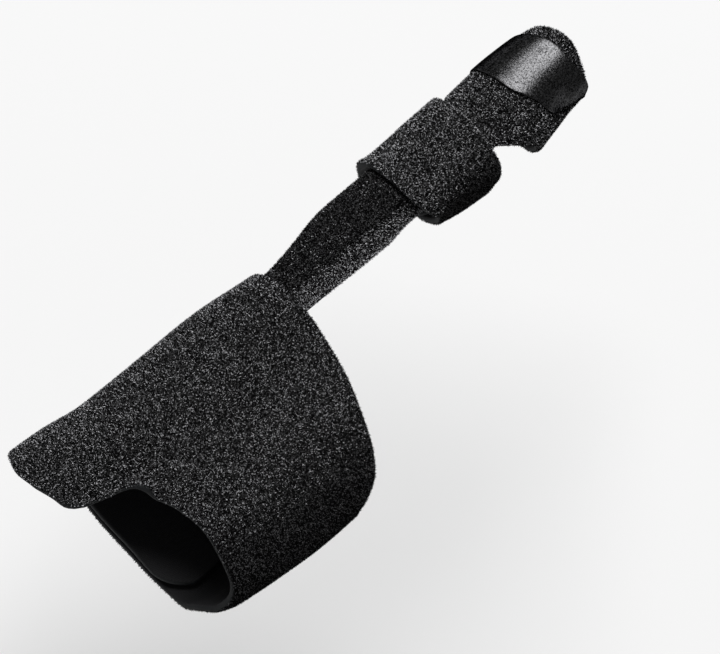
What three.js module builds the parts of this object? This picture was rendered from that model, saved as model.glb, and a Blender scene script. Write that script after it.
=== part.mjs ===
// A soft finger splint, in the form that it has on a right hand: a stiffened strip along the back of
// the hand and the index finger, a wide wrap that holds it to the palm, a strap round the root of the
// finger and wings that close round its end, with a smooth patch over them.
// Millimetres. +X runs to the fingertip, +Y to the thumb's side, +Z out of the back of the hand.
// The origin is in the middle of the hollow that the palm fills.
import * as THREE from "three";

const { degToRad, lerp, smoothstep } = THREE.MathUtils;

// The hollow that the palm fills
const PALM_WIDTH = 65;
const PALM_THICKNESS = 26;
const PALM_SQUARENESS = 2.6; // 2 is an ellipse, more is squarer

// The hollow that the finger fills
const FINGER_WIDTH = 18;
const FINGER_HEIGHT = 17;
const FINGER_SQUARENESS = 2.1;
const FINGER_LENGTH = 107; // from the knuckle to the end of the strip

// Where the finger leaves the hand, and how it points
const KNUCKLE_FORWARD = 35;
const KNUCKLE_SIDE = 27;
const KNUCKLE_UP = 3;
const FINGER_YAW = 4.6; // degrees towards the thumb
const FINGER_DROP = 2; // degrees towards the palm
const KNUCKLE_BEND = 28; // length over which the strip passes from the hand to the finger
const KNUCKLE_EASE = 0.7; // less is a bend nearer to the hand

// The strip and the pocket along it
const STRIP_WIDTH = 19;
const STRIP_THICKNESS = 1.9; // at its margins
const STRIP_SIDE = 26; // from the middle of the hand to the middle of the strip
const STRIP_WRIST_END = 58; // from the origin, towards the wrist
const STRIP_CORNER = 5;
const POCKET_WIDTH = 11.5;
const POCKET_SHIFT = 2.6; // towards the thumb, from the middle of the strip
const POCKET_RISE = 1.1;
const POCKET_END = 66; // from the knuckle, where the pocket has run out

// The wings that close round the finger's end
const WING_START = 68.5; // from the knuckle
const WING_OVERLAP = 13;

// The wrap round the palm
const WRAP_THICKNESS = 2.2;
const WRAP_TONGUE_REACH = 65; // from the origin to the tongue's end over the wrist
const WRAP_FINGER_REACH = 28.5; // from the origin to the edge at the strip
const WRAP_OVERLAP = 36;
const WRAP_CORNER = 9;
const WRAP_DRAPE = 9; // how far beside the strip the wrap meets the hand again

// The strap round the finger's root
const STRAP_THICKNESS = 2.2;
const STRAP_START = 36; // from the knuckle
const STRAP_WIDTH = 31;
const STRAP_OVERLAP = 15;
const STRAP_CORNER = 5;
const STRAP_DRAPE = 6;

// The smooth patch over the finger's end
const PATCH_THICKNESS = 0.6;
const PATCH_THUMB_REACH = 21; // round the finger, from the middle of its back
const PATCH_PALM_REACH = 13;

// The hook tabs that hold the overlaps
const HOOK_THICKNESS = 0.9;
const HOOK_INSET = 2.5; // from the edges of the overlap

const LAYER_GAP = 0.3; // between two pieces that lie on each other
const OVERLAP_RISE = 9; // over this length an end climbs on to the one below it

// Edges of the palm wrap. turn: round the hand, 0 at the middle of its back, -1 and 1 at the middle of
// the palm, minus towards the thumb. wrist: share of the tongue's reach. finger: share of the finger reach.
const WRAP_WRIST_EDGE = [
  { turn: -1.3, wrist: 0.7 },
  { turn: -0.8, wrist: 0.72 },
  { turn: -0.62, wrist: 0.82 },
  { turn: -0.5, wrist: 0.9 },
  { turn: -0.43, wrist: 0.965 },
  { turn: -0.35, wrist: 1 },
  { turn: -0.21, wrist: 0.965 },
  { turn: -0.145, wrist: 0.94 },
  { turn: -0.125, wrist: 0.9 },
  { turn: -0.1, wrist: 0.75 },
  { turn: -0.075, wrist: 0.68 },
  { turn: -0.02, wrist: 0.63 },
  { turn: 0.085, wrist: 0.566 },
  { turn: 0.21, wrist: 0.536 },
  { turn: 0.38, wrist: 0.557 },
  { turn: 0.5, wrist: 0.615 },
  { turn: 0.65, wrist: 0.69 },
  { turn: 1.3, wrist: 0.72 },
];
const WRAP_FINGER_EDGE = [
  { turn: -1.3, finger: 0.14 },
  { turn: -0.9, finger: 0.17 },
  { turn: -0.64, finger: 0.55 },
  { turn: -0.48, finger: 0.96 },
  { turn: -0.2, finger: 1 },
  { turn: -0.03, finger: 0.95 },
  { turn: 0.2, finger: 0.79 },
  { turn: 0.38, finger: 0.57 },
  { turn: 0.52, finger: 0.28 },
  { turn: 0.7, finger: 0.18 },
  { turn: 1.3, finger: 0.14 },
];

// Edges of the finger strap, as shares of its width on the thumb's side. turn as above.
const STRAP_EDGES = [
  { turn: -1.3, start: 0.22, end: 0.86 },
  { turn: -0.75, start: 0.1, end: 0.97 },
  { turn: -0.5, start: 0, end: 0.99 },
  { turn: 0, start: 0.04, end: 0.99 },
  { turn: 0.3, start: 0.14, end: 0.96 },
  { turn: 0.52, start: 0.28, end: 0.96 },
  { turn: 0.75, start: 0.28, end: 0.88 },
  { turn: 1.3, start: 0.25, end: 0.86 },
];

// Edges of the wings. start: share of the way from the wings' start to the strip's end.
// end: share of the same length, cut back from the strip's end.
const WING_EDGES = [
  { turn: -1.3, start: 0.25, end: 0.16 },
  { turn: -0.8, start: 0.16, end: 0.2 },
  { turn: -0.5, start: 0.05, end: 0.2 },
  { turn: -0.28, start: 0, end: 0.06 },
  { turn: 0, start: 0, end: 0 },
  { turn: 0.28, start: 0, end: 0.07 },
  { turn: 0.42, start: 0.12, end: 0.12 },
  { turn: 0.55, start: 0.27, end: 0.15 },
  { turn: 0.75, start: 0.34, end: 0.17 },
  { turn: 1.3, start: 0.33, end: 0.17 },
];

// Edges of the tip patch. Both are shares of the same length, cut back from the strip's end.
const PATCH_EDGES = [
  { turn: -0.7, start: 0.65, end: 0.31 },
  { turn: -0.45, start: 0.65, end: 0.27 },
  { turn: -0.25, start: 0.655, end: 0.195 },
  { turn: -0.07, start: 0.65, end: 0.13 },
  { turn: 0.05, start: 0.63, end: 0.12 },
  { turn: 0.12, start: 0.6, end: 0.12 },
  { turn: 0.25, start: 0.535, end: 0.1 },
  { turn: 0.35, start: 0.505, end: 0.105 },
  { turn: 0.43, start: 0.46, end: 0.155 },
];

// The palm's hollow. along: share of the way from the origin to the knuckle. width, height: shares of
// its named sizes. lean: how far its middle lies towards the thumb, as a share of the width.
const PALM_SECTIONS = [
  { along: -1.9, width: 0.88, height: 1.04, lean: 0.06 },
  { along: -1.45, width: 0.905, height: 1.02, lean: 0.045 },
  { along: -1, width: 0.97, height: 1.01, lean: -0.008 },
  { along: -0.34, width: 1, height: 1, lean: -0.012 },
  { along: 0.3, width: 0.99, height: 1, lean: 0.003 },
  { along: 1, width: 0.94, height: 0.98, lean: 0.012 },
];

// The finger's hollow. along: share of the finger's length. width, height: shares of its named sizes.
// lean: how far its middle lies towards the thumb, as a share of the width.
const FINGER_SECTIONS = [
  { along: -0.3, width: 1.2, height: 1.05, lean: 0.01 },
  { along: 0.1, width: 1.09, height: 1.05, lean: 0.01 },
  { along: 0.35, width: 0.92, height: 1, lean: 0.01 },
  { along: 0.42, width: 0.94, height: 1, lean: 0 },
  { along: 0.52, width: 1.16, height: 1, lean: -0.07 },
  { along: 0.62, width: 1.3, height: 1, lean: -0.13 },
  { along: 0.7, width: 1.42, height: 1, lean: -0.17 },
  { along: 0.77, width: 1.34, height: 0.98, lean: -0.13 },
  { along: 0.84, width: 1.16, height: 0.96, lean: -0.05 },
  { along: 0.9, width: 1.02, height: 0.93, lean: 0 },
  { along: 1.1, width: 0.8, height: 0.84, lean: 0.02 },
];

// How finely the pieces are cut into cells
const STRIP_COLUMNS = [-1, -0.82, -0.62, -0.35, -0.05, 0.2, 0.38, 0.55, 0.8, 1]; // of half its width
const WRAP_CELL = 2.6;
const WRAP_CELLS_ACROSS = 10;
const STRAP_CELL = 1.9;
const STRAP_CELLS_ACROSS = 8;
const STRIP_CELLS_LONG = 52;
const WING_CELL = 2.1;
const WING_CELLS_LONG = 12;
const PATCH_CELLS_LONG = 8;
const HOOK_CELLS_ROUND = 10;
const HOOK_CELLS_ACROSS = 4;
const ROW_SLACK = 0.25; // how much longer than a cell, as its share, a stretch may stay whole
const PATCH_NARROWEST_CELL = 0.25; // round the finger, at the patch's two ends
const OVAL_STEPS = 720;

// A value of a table's column at a turn or place, on a smooth curve that never overshoots its rows.
function fromTable(table, key, column, at) {
  const last = table.length - 1;
  if (at <= table[0][key]) return table[0][column];
  if (at >= table[last][key]) return table[last][column];
  const slope = (i) =>
    (table[i + 1][column] - table[i][column]) / (table[i + 1][key] - table[i][key]);
  const tangent = (i) => {
    if (i === 0 || i === last) return 0;
    const before = slope(i - 1);
    const after = slope(i);
    return before * after <= 0 ? 0 : (2 * before * after) / (before + after);
  };
  const row = table.findIndex((entry) => entry[key] > at) - 1;
  const step = table[row + 1][key] - table[row][key];
  const t = (at - table[row][key]) / step;
  return (
    (1 + 2 * t) * (1 - t) ** 2 * table[row][column] +
    t * (1 - t) ** 2 * step * tangent(row) +
    t * t * (3 - 2 * t) * table[row + 1][column] +
    t * t * (t - 1) * step * tangent(row + 1)
  );
}

// A rounded outline across the hand or finger, walked by the length along it. The walk starts at the
// middle of the back and goes away from the thumb.
class Oval {
  constructor(width, height, squareness) {
    this.halfWidth = width / 2;
    this.halfHeight = height / 2;
    this.squareness = squareness;
    this.lengths = [0];
    for (let i = 1; i <= OVAL_STEPS; i++) {
      const step = this.corner(i).distanceTo(this.corner(i - 1));
      this.lengths.push(this.lengths[i - 1] + step);
    }
    this.girth = this.lengths[OVAL_STEPS];
  }

  // A point of the outline: x is towards the thumb, y is up.
  corner(i) {
    const angle = (2 * Math.PI * i) / OVAL_STEPS;
    const bend = (value) => Math.sign(value) * Math.abs(value) ** (2 / this.squareness);
    return new THREE.Vector2(
      -this.halfWidth * bend(Math.sin(angle)),
      this.halfHeight * bend(Math.cos(angle)),
    );
  }

  // The point that lies a length round the outline, and the direction out of it there.
  at(around) {
    const walked = THREE.MathUtils.euclideanModulo(around, this.girth);
    let low = 0;
    let high = OVAL_STEPS;
    while (high - low > 1) {
      const middle = (low + high) >> 1;
      if (this.lengths[middle] <= walked) low = middle;
      else high = middle;
    }
    const share = (walked - this.lengths[low]) / (this.lengths[high] - this.lengths[low]);
    const point = this.corner(low).lerp(this.corner(high), share);
    const lean = (value, half) =>
      (Math.sign(value) * Math.abs(value / half) ** (this.squareness - 1)) / half;
    const outward = new THREE.Vector2(
      lean(point.x, this.halfWidth),
      lean(point.y, this.halfHeight),
    ).normalize();
    return { point, outward };
  }

  // The walked length, minus towards the thumb, to the point of the back this far to the side.
  towardsThumb(side) {
    let i = OVAL_STEPS;
    while (this.corner(i).x < side && i > (OVAL_STEPS * 3) / 4) i--;
    return this.lengths[i] - this.girth;
  }
}

// Ovals along the hand or the finger. share(along): the place in the table of sections.
class Hollow {
  constructor(width, height, squareness, sections, share) {
    Object.assign(this, { width, height, squareness, sections, share });
    this.known = new Map();
  }

  // The outline at a place along the splint, with its lean towards the thumb.
  at(along) {
    const key = along.toFixed(3);
    if (!this.known.has(key)) {
      const part = (column) => fromTable(this.sections, "along", column, this.share(along));
      const width = this.width * part("width");
      const oval = new Oval(width, this.height * part("height"), this.squareness);
      oval.lean = this.width * part("lean");
      this.known.set(key, oval);
    }
    return this.known.get(key);
  }
}

const palm = new Hollow(
  PALM_WIDTH,
  PALM_THICKNESS,
  PALM_SQUARENESS,
  PALM_SECTIONS,
  (along) => along / KNUCKLE_FORWARD,
);
const finger = new Hollow(
  FINGER_WIDTH,
  FINGER_HEIGHT,
  FINGER_SQUARENESS,
  FINGER_SECTIONS,
  (along) => (along - KNUCKLE_FORWARD) / FINGER_LENGTH,
);
const stripMiddle = palm.at(0).towardsThumb(STRIP_SIDE);

// A point on the palm's outline, lifted off it. around: length from above the origin's line.
function onPalm(along, around, lift) {
  const oval = palm.at(along);
  const { point, outward } = oval.at(around + oval.lean);
  point.addScaledVector(outward, lift);
  return new THREE.Vector3(along, point.x + oval.lean, point.y);
}

const yaw = degToRad(FINGER_YAW);
const drop = degToRad(FINGER_DROP);
const fingerSide = new THREE.Vector3(-Math.sin(yaw), Math.cos(yaw), 0);
const fingerAhead = new THREE.Vector3(
  Math.cos(drop) * Math.cos(yaw),
  Math.cos(drop) * Math.sin(yaw),
  -Math.sin(drop),
);
const fingerUp = fingerAhead.clone().cross(fingerSide);
const knuckle = new THREE.Vector3(KNUCKLE_FORWARD, KNUCKLE_SIDE, KNUCKLE_UP);

// A point on the finger's outline, lifted off it. around: length from the middle of its back.
function onFinger(along, around, lift) {
  const oval = finger.at(along);
  const { point, outward } = oval.at(around + oval.lean);
  point.addScaledVector(outward, lift);
  return knuckle
    .clone()
    .addScaledVector(fingerAhead, along - KNUCKLE_FORWARD)
    .addScaledVector(fingerSide, point.x + oval.lean)
    .addScaledVector(fingerUp, point.y);
}

// The strip leaves the hand just under the edge of the palm wrap.
const bendStart = WRAP_FINGER_REACH - WRAP_THICKNESS;

// A point on what the strip lies on: the hand, then the knuckle, then the finger.
function underStrip(along, around, lift) {
  const share = smoothstep(along, bendStart, bendStart + KNUCKLE_BEND) ** KNUCKLE_EASE;
  if (share <= 0) return onPalm(along, stripMiddle + around, lift);
  if (share >= 1) return onFinger(along, around, lift);
  return onPalm(along, stripMiddle + around, lift).lerp(onFinger(along, around, lift), share);
}

// Cells of a cut cloth that share their corners, made into one closed body with both faces and a rim.
class Cloth {
  // surface(along, around, face): the point of the inner face at 0 and of the outer face at 1.
  constructor(surface) {
    this.surface = surface;
    this.known = new Map();
    this.spots = [];
    this.cells = [];
  }

  spot({ along, around }) {
    const key = `${along.toFixed(4)} ${around.toFixed(4)}`;
    if (!this.known.has(key)) {
      this.known.set(key, this.spots.length);
      this.spots.push({ along, around });
    }
    return this.known.get(key);
  }

  // Rows of cells between the columns. edges(around): where a column starts and ends.
  addPanel(rows, columns, edges) {
    const corner = (i, j) => {
      const { start, end } = edges(columns[j]);
      return this.spot({ along: lerp(start, end, i / rows), around: columns[j] });
    };
    for (let i = 0; i < rows; i++) {
      for (let j = 0; j < columns.length - 1; j++) {
        this.cells.push([corner(i, j), corner(i + 1, j), corner(i + 1, j + 1), corner(i, j + 1)]);
      }
    }
    return this;
  }

  geometry() {
    const count = this.spots.length;
    const positions = [];
    for (const face of [1, 0]) {
      for (const { along, around } of this.spots) {
        positions.push(...this.surface(along, around, face).toArray());
      }
    }
    const triangles = [];
    const edges = new Map();
    for (const [a, b, c, d] of this.cells) {
      triangles.push(a, c, b, a, d, c);
      triangles.push(count + a, count + b, count + c, count + a, count + c, count + d);
      for (const [from, to] of [[a, b], [b, c], [c, d], [d, a]]) {
        if (!edges.delete(`${to} ${from}`)) edges.set(`${from} ${to}`, [from, to]);
      }
    }
    for (const [from, to] of edges.values()) {
      triangles.push(from, to, count + to, from, count + to, count + from);
    }
    const geometry = new THREE.BufferGeometry();
    geometry.setAttribute("position", new THREE.Float32BufferAttribute(positions, 3));
    geometry.setIndex(triangles);
    geometry.computeVertexNormals();
    return geometry;
  }
}

// How far a corner of this radius has cut an edge back, at a distance from the cloth's end.
function cornerCut(radius, fromEnd) {
  const inside = Math.max(0, radius - fromEnd);
  return radius - Math.sqrt(radius * radius - Math.min(inside, radius) ** 2);
}

// How high the outer end of a band rides over its inner end. around: from the middle of the back.
function overEnd(around, girth, reach, thickness) {
  const innerEnd = girth - reach;
  const height = thickness + HOOK_THICKNESS + 2 * LAYER_GAP;
  return height * smoothstep(around, innerEnd - OVERLAP_RISE, innerEnd - LAYER_GAP);
}

// Half of the way round that a band covers, with half of its overlap.
const bandReach = (girth, overlap) => (girth + overlap) / 2;

const halfStrip = STRIP_WIDTH / 2;

// The strip's outer face, over the pocket and beside it. fromMiddle: minus towards the thumb.
function stripHeight(along, fromMiddle) {
  const beside = Math.abs(fromMiddle + POCKET_SHIFT) - POCKET_WIDTH / 2;
  const pocketEnd = KNUCKLE_FORWARD + POCKET_END;
  const runsOut = 1 - smoothstep(along, pocketEnd - POCKET_WIDTH, pocketEnd);
  const edge = (STRIP_WIDTH - POCKET_WIDTH) / 4;
  return STRIP_THICKNESS + POCKET_RISE * runsOut * (1 - smoothstep(beside, -edge / 2, edge));
}

// The height of a band that lies over the strip. Its foam takes up half of the pocket's rise.
function bandHeight(along, fromMiddle, face, thickness, drape) {
  const beside = Math.abs(fromMiddle) - halfStrip;
  const covered = 1 - smoothstep(beside, 0, drape);
  if (face === 1) return thickness + LAYER_GAP + (STRIP_THICKNESS + POCKET_RISE / 2) * covered;
  const nearest = THREE.MathUtils.clamp(fromMiddle, -halfStrip, halfStrip);
  return LAYER_GAP + stripHeight(along, nearest) * covered;
}

// The places round a band where its tables have rows.
const tableRows = (tables, girth) => tables.flat().map(({ turn }) => (turn * girth) / 2);

// Places round a band: the strip's own columns, the rows of its tables, and cells between them.
function bandColumns(reach, middle, cell, rows) {
  const strip = STRIP_COLUMNS.map((column) => middle + column * halfStrip);
  const clear = (place) =>
    Math.abs(place) < reach - cell / 2 && Math.abs(place - middle) > halfStrip + cell / 2;
  const stops = [-reach, ...strip, ...rows.filter(clear), reach].sort((a, b) => a - b);
  return stops.slice(1).reduce(
    (columns, stop) => {
      const from = columns.at(-1);
      const count = Math.max(1, Math.ceil((stop - from) / cell - ROW_SLACK));
      for (let i = 1; i <= count; i++) columns.push(lerp(from, stop, i / count));
      return columns;
    },
    [-reach],
  );
}

const wingStart = KNUCKLE_FORWARD + WING_START;
const stripEnd = KNUCKLE_FORWARD + FINGER_LENGTH;
const wingLength = stripEnd - wingStart;

// The girth that the wings' turns are counted on.
const wingGirth = finger.at(wingStart + wingLength / 2).girth;
const wingReach = bandReach(wingGirth, WING_OVERLAP);
const wingFrom = (around) =>
  wingStart + wingLength * fromTable(WING_EDGES, "turn", "start", (2 * around) / wingGirth);
const wingTo = (around) =>
  stripEnd - wingLength * fromTable(WING_EDGES, "turn", "end", (2 * around) / wingGirth);

const wingColumns = bandColumns(wingReach, 0, WING_CELL, tableRows([WING_EDGES], wingGirth));

// How high the wing away from the thumb rides over the other one.
const wingLift = (along, around) =>
  along < wingStart ? 0 : overEnd(around, finger.at(along).girth, wingReach, STRIP_THICKNESS);

// The strip from the wrist to the fingertip, with the wings that close round the finger's end.
function backStrip() {
  const cloth = new Cloth((along, around, face) => {
    const height = wingLift(along, around) + face * stripHeight(along, around);
    return underStrip(along, around, height);
  });
  const stripColumns = wingColumns.filter((around) => Math.abs(around) <= halfStrip);
  return cloth
    .addPanel(STRIP_CELLS_LONG, stripColumns, (around) => ({
      start: cornerCut(STRIP_CORNER, halfStrip - Math.abs(around)) - STRIP_WRIST_END,
      end: wingStart,
    }))
    .addPanel(WING_CELLS_LONG, wingColumns, (around) => {
      const cut = cornerCut(STRAP_CORNER, wingReach - Math.abs(around));
      const start = Math.abs(around) > halfStrip ? wingFrom(around) + cut : wingStart;
      return { start, end: wingTo(around) - cut };
    })
    .geometry();
}

// A band of cloth round the palm or the finger, over the strip. edges(around): its start and end.
function band({ place, girthAt, reach, middle, edges, rows, thickness, drape, cell, across }) {
  const columns = bandColumns(reach, middle, cell, rows);
  return new Cloth((along, around, face) => {
    const over = bandHeight(along, around - middle, face, thickness, drape);
    return place(along, around, over + overEnd(around, girthAt(along), reach, thickness));
  })
    .addPanel(across, columns, edges)
    .geometry();
}

const palmGirth = palm.at(0).girth;
const wrapReach = bandReach(palmGirth, WRAP_OVERLAP);

// Where the palm wrap starts and ends along X, at a length round the hand.
function wrapEdges(around) {
  const turn = (2 * around) / palmGirth;
  const cut = cornerCut(WRAP_CORNER, wrapReach - Math.abs(around));
  return {
    start: cut - WRAP_TONGUE_REACH * fromTable(WRAP_WRIST_EDGE, "turn", "wrist", turn),
    end: WRAP_FINGER_REACH * fromTable(WRAP_FINGER_EDGE, "turn", "finger", turn) - cut,
  };
}

const strapFrom = KNUCKLE_FORWARD + STRAP_START;
const strapGirth = finger.at(strapFrom + STRAP_WIDTH / 2).girth;
const strapReach = bandReach(strapGirth, STRAP_OVERLAP);

// Where the finger strap starts and ends along the finger, at a length round it.
function strapEdges(around) {
  const turn = (2 * around) / strapGirth;
  const cut = cornerCut(STRAP_CORNER, strapReach - Math.abs(around));
  return {
    start: strapFrom + STRAP_WIDTH * fromTable(STRAP_EDGES, "turn", "start", turn) + cut,
    end: strapFrom + STRAP_WIDTH * fromTable(STRAP_EDGES, "turn", "end", turn) - cut,
  };
}

const wrapBand = {
  place: onPalm,
  girthAt: (along) => palm.at(along).girth,
  reach: wrapReach,
  middle: stripMiddle,
  edges: wrapEdges,
  rows: tableRows([WRAP_WRIST_EDGE, WRAP_FINGER_EDGE], palmGirth),
  thickness: WRAP_THICKNESS,
  drape: WRAP_DRAPE,
  cell: WRAP_CELL,
  across: WRAP_CELLS_ACROSS,
};
const strapBand = {
  place: onFinger,
  girthAt: (along) => finger.at(along).girth,
  reach: strapReach,
  middle: 0,
  edges: strapEdges,
  rows: tableRows([STRAP_EDGES], strapGirth),
  thickness: STRAP_THICKNESS,
  drape: STRAP_DRAPE,
  cell: STRAP_CELL,
  across: STRAP_CELLS_ACROSS,
};
// The wings are a band too where they overlap, but nothing lies between them and the finger.
const wingBand = {
  place: onFinger,
  girthAt: strapBand.girthAt,
  reach: wingReach,
  edges: (around) => ({ start: wingFrom(around), end: wingTo(around) }),
  thickness: STRIP_THICKNESS,
};

const patchCut = (edge, around) =>
  stripEnd - wingLength * fromTable(PATCH_EDGES, "turn", edge, (2 * around) / wingGirth);

// The smooth patch over the strip's end and the wings.
function tipPatch() {
  const inside = wingColumns.filter(
    (around) =>
      around > PATCH_NARROWEST_CELL - PATCH_THUMB_REACH &&
      around < PATCH_PALM_REACH - PATCH_NARROWEST_CELL,
  );
  const columns = [-PATCH_THUMB_REACH, ...inside, PATCH_PALM_REACH];
  return new Cloth((along, around, face) => {
    const height = wingLift(along, around) + STRIP_THICKNESS + LAYER_GAP;
    return onFinger(along, around, height + face * PATCH_THICKNESS);
  })
    .addPanel(PATCH_CELLS_LONG, columns, (around) => ({
      start: patchCut("start", around),
      end: patchCut("end", around),
    }))
    .geometry();
}

// The hook tab between the two ends of a band. base: the height of the band's inner face.
function hookTab({ place, girthAt, reach, edges, thickness }, overlap, base) {
  const half = overlap / 2 - HOOK_INSET;
  const middle = reach - overlap / 2;
  const ends = [-1, 0, 1].flatMap((side) => [
    edges(middle + side * half),
    edges(-middle - side * half),
  ]);
  const columns = Array.from({ length: HOOK_CELLS_ROUND + 1 }, (_, i) =>
    lerp(-half, half, i / HOOK_CELLS_ROUND),
  );
  const start = Math.max(...ends.map((edge) => edge.start)) + HOOK_INSET;
  const end = Math.min(...ends.map((edge) => edge.end)) - HOOK_INSET;
  return new Cloth((along, around, face) => {
    const height = base + thickness + LAYER_GAP + face * HOOK_THICKNESS;
    return place(along, girthAt(along) / 2 + around, height);
  })
    .addPanel(HOOK_CELLS_ACROSS, columns, () => ({ start, end }))
    .geometry();
}

const fabric = (color, roughness) =>
  new THREE.MeshStandardMaterial({ color, roughness, metalness: 0 });
const plush = fabric(0x1b1b1c, 0.95);
const satin = fabric(0x141416, 0.38);
const hook = fabric(0x101012, 0.7);

function addPiece(group, name, geometry, material) {
  const mesh = new THREE.Mesh(geometry, material);
  mesh.name = name;
  group.add(mesh);
}

const splint = new THREE.Group();
addPiece(splint, "back_strip", backStrip(), plush);
addPiece(splint, "hand_wrap", band(wrapBand), plush);
addPiece(splint, "finger_strap", band(strapBand), plush);
addPiece(splint, "tip_patch", tipPatch(), satin);
addPiece(splint, "wrap_hook_tab", hookTab(wrapBand, WRAP_OVERLAP, LAYER_GAP), hook);
addPiece(splint, "strap_hook_tab", hookTab(strapBand, STRAP_OVERLAP, LAYER_GAP), hook);
addPiece(splint, "wing_hook_tab", hookTab(wingBand, WING_OVERLAP, 0), hook);

export default splint;
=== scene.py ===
"""The looks of a soft finger splint in its worn form: black loop plush on foam, with a satin patch.

Lengths are in millimetres until a mesh is made, which is in metres. +X runs to the fingertip, +Y to
the thumb's side and +Z out of the back of the hand. A place on the cloth has two lengths. along runs
from the origin to the fingertip. around runs round the hand or finger from the middle of its back, and
is minus towards the thumb. lift is a height off the hollow that the hand fills.
"""

import logging
import math
from abc import ABC, abstractmethod
from collections.abc import Callable, Mapping
from dataclasses import dataclass, field
from enum import Enum
from functools import cached_property
from typing import Any

import bpy
import numpy as np
from mathutils import Matrix, Vector


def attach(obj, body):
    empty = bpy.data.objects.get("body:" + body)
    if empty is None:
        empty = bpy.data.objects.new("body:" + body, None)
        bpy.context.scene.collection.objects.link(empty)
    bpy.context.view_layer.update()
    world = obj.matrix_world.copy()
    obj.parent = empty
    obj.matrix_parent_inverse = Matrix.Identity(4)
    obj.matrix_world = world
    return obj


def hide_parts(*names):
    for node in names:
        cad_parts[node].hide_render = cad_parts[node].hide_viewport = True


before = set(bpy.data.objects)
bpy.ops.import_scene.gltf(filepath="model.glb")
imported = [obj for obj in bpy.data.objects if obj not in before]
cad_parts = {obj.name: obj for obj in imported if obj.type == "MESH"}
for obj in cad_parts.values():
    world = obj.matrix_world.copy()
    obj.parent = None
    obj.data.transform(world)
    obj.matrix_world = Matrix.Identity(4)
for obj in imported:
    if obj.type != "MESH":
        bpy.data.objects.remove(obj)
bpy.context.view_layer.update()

log = logging.getLogger("finger_splint")

Array = np.ndarray
Shade = tuple[float, float, float]
MM = 0.001

# The least length that a vector is divided by.
TINY = 1e-12
# Corners of a cut that agree on a grid of this many lines to the millimetre are one corner.
MERGE_LINES = 1e4
# How many times the rim's width a slanted edge is cut back at most.
STEEPEST_CUT = 1.8


def smoothstep(value: Array, low: Array | float, high: Array | float) -> Array:
    """An S-curve from 0 at low to 1 at high.

    Args:
        value: Where to read it.
        low: The place of 0.
        high: The place of 1.

    Returns:
        Values from 0 to 1.
    """
    t = np.clip((value - low) / (high - low), 0, 1)
    return t * t * (3 - 2 * t)


def unit(vectors: Array) -> Array:
    """The vectors, each at length 1."""
    return vectors / np.maximum(np.linalg.norm(vectors, axis=-1, keepdims=True), TINY)


def length_of(vectors: Array) -> float:
    """The lengths of the vectors, added up."""
    return float(np.linalg.norm(vectors, axis=-1).sum())


@dataclass(frozen=True)
class Table:
    """Rows of numbers under named columns, read on a smooth curve that never overshoots its rows."""

    columns: tuple[str, ...]
    rows: tuple[tuple[float, ...], ...]

    def column(self, name: str) -> Array:
        """The numbers under one name."""
        return np.array([row[self.columns.index(name)] for row in self.rows], float)

    def read(self, name: str, at: Array) -> Array:
        """Reads one column.

        Args:
            name: The column's name.
            at: Places along the first column.

        Returns:
            The column's values there.
        """
        keys, values = self.column(self.columns[0]), self.column(name)
        slope = np.diff(values) / np.diff(keys)
        before, after = slope[:-1], slope[1:]
        same_way = before * after > 0
        tangent = np.zeros_like(values)
        both = np.where(same_way, before + after, 1.0)
        tangent[1:-1] = np.where(same_way, 2 * before * after / both, 0.0)
        place = np.clip(at, keys[0], keys[-1])
        row = np.clip(np.searchsorted(keys, place, side="right") - 1, 0, len(keys) - 2)
        step = keys[row + 1] - keys[row]
        t = (place - keys[row]) / step
        return (
            (1 + 2 * t) * (1 - t) ** 2 * values[row]
            + t * (1 - t) ** 2 * step * tangent[row]
            + t * t * (3 - 2 * t) * values[row + 1]
            + t * t * (t - 1) * step * tangent[row + 1]
        )


# Edges of the palm wrap. turn: round the hand, 0 at the middle of its back, -1 and 1 at the middle of
# the palm. wrist: share of the tongue's reach. finger: share of the finger reach.
WRAP_WRIST_EDGE = Table(
    ("turn", "wrist"),
    (
        (-1.3, 0.7), (-0.8, 0.72), (-0.62, 0.82), (-0.5, 0.9), (-0.43, 0.965), (-0.35, 1),
        (-0.21, 0.965), (-0.145, 0.94), (-0.125, 0.9), (-0.1, 0.75), (-0.075, 0.68), (-0.02, 0.63),
        (0.085, 0.566), (0.21, 0.536), (0.38, 0.557), (0.5, 0.615), (0.65, 0.69), (1.3, 0.72),
    ),
)
WRAP_FINGER_EDGE = Table(
    ("turn", "finger"),
    (
        (-1.3, 0.14), (-0.9, 0.17), (-0.64, 0.55), (-0.48, 0.96), (-0.2, 1), (-0.03, 0.95),
        (0.2, 0.79), (0.38, 0.57), (0.52, 0.28), (0.7, 0.18), (1.3, 0.14),
    ),
)

# Edges of the finger strap, as shares of its width on the thumb's side.
STRAP_EDGES = Table(
    ("turn", "start", "end"),
    (
        (-1.3, 0.22, 0.86), (-0.75, 0.1, 0.97), (-0.5, 0, 0.99), (0, 0.04, 0.99),
        (0.3, 0.14, 0.96), (0.52, 0.28, 0.96), (0.75, 0.28, 0.88), (1.3, 0.25, 0.86),
    ),
)

# Edges of the wings, as shares of the way from their start to the strip's end. end is cut back from it.
WING_EDGES = Table(
    ("turn", "start", "end"),
    (
        (-1.3, 0.25, 0.16), (-0.8, 0.16, 0.2), (-0.5, 0.05, 0.2), (-0.28, 0, 0.06), (0, 0, 0),
        (0.28, 0, 0.07), (0.42, 0.12, 0.12), (0.55, 0.27, 0.15), (0.75, 0.34, 0.17),
        (1.3, 0.33, 0.17),
    ),
)

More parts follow.
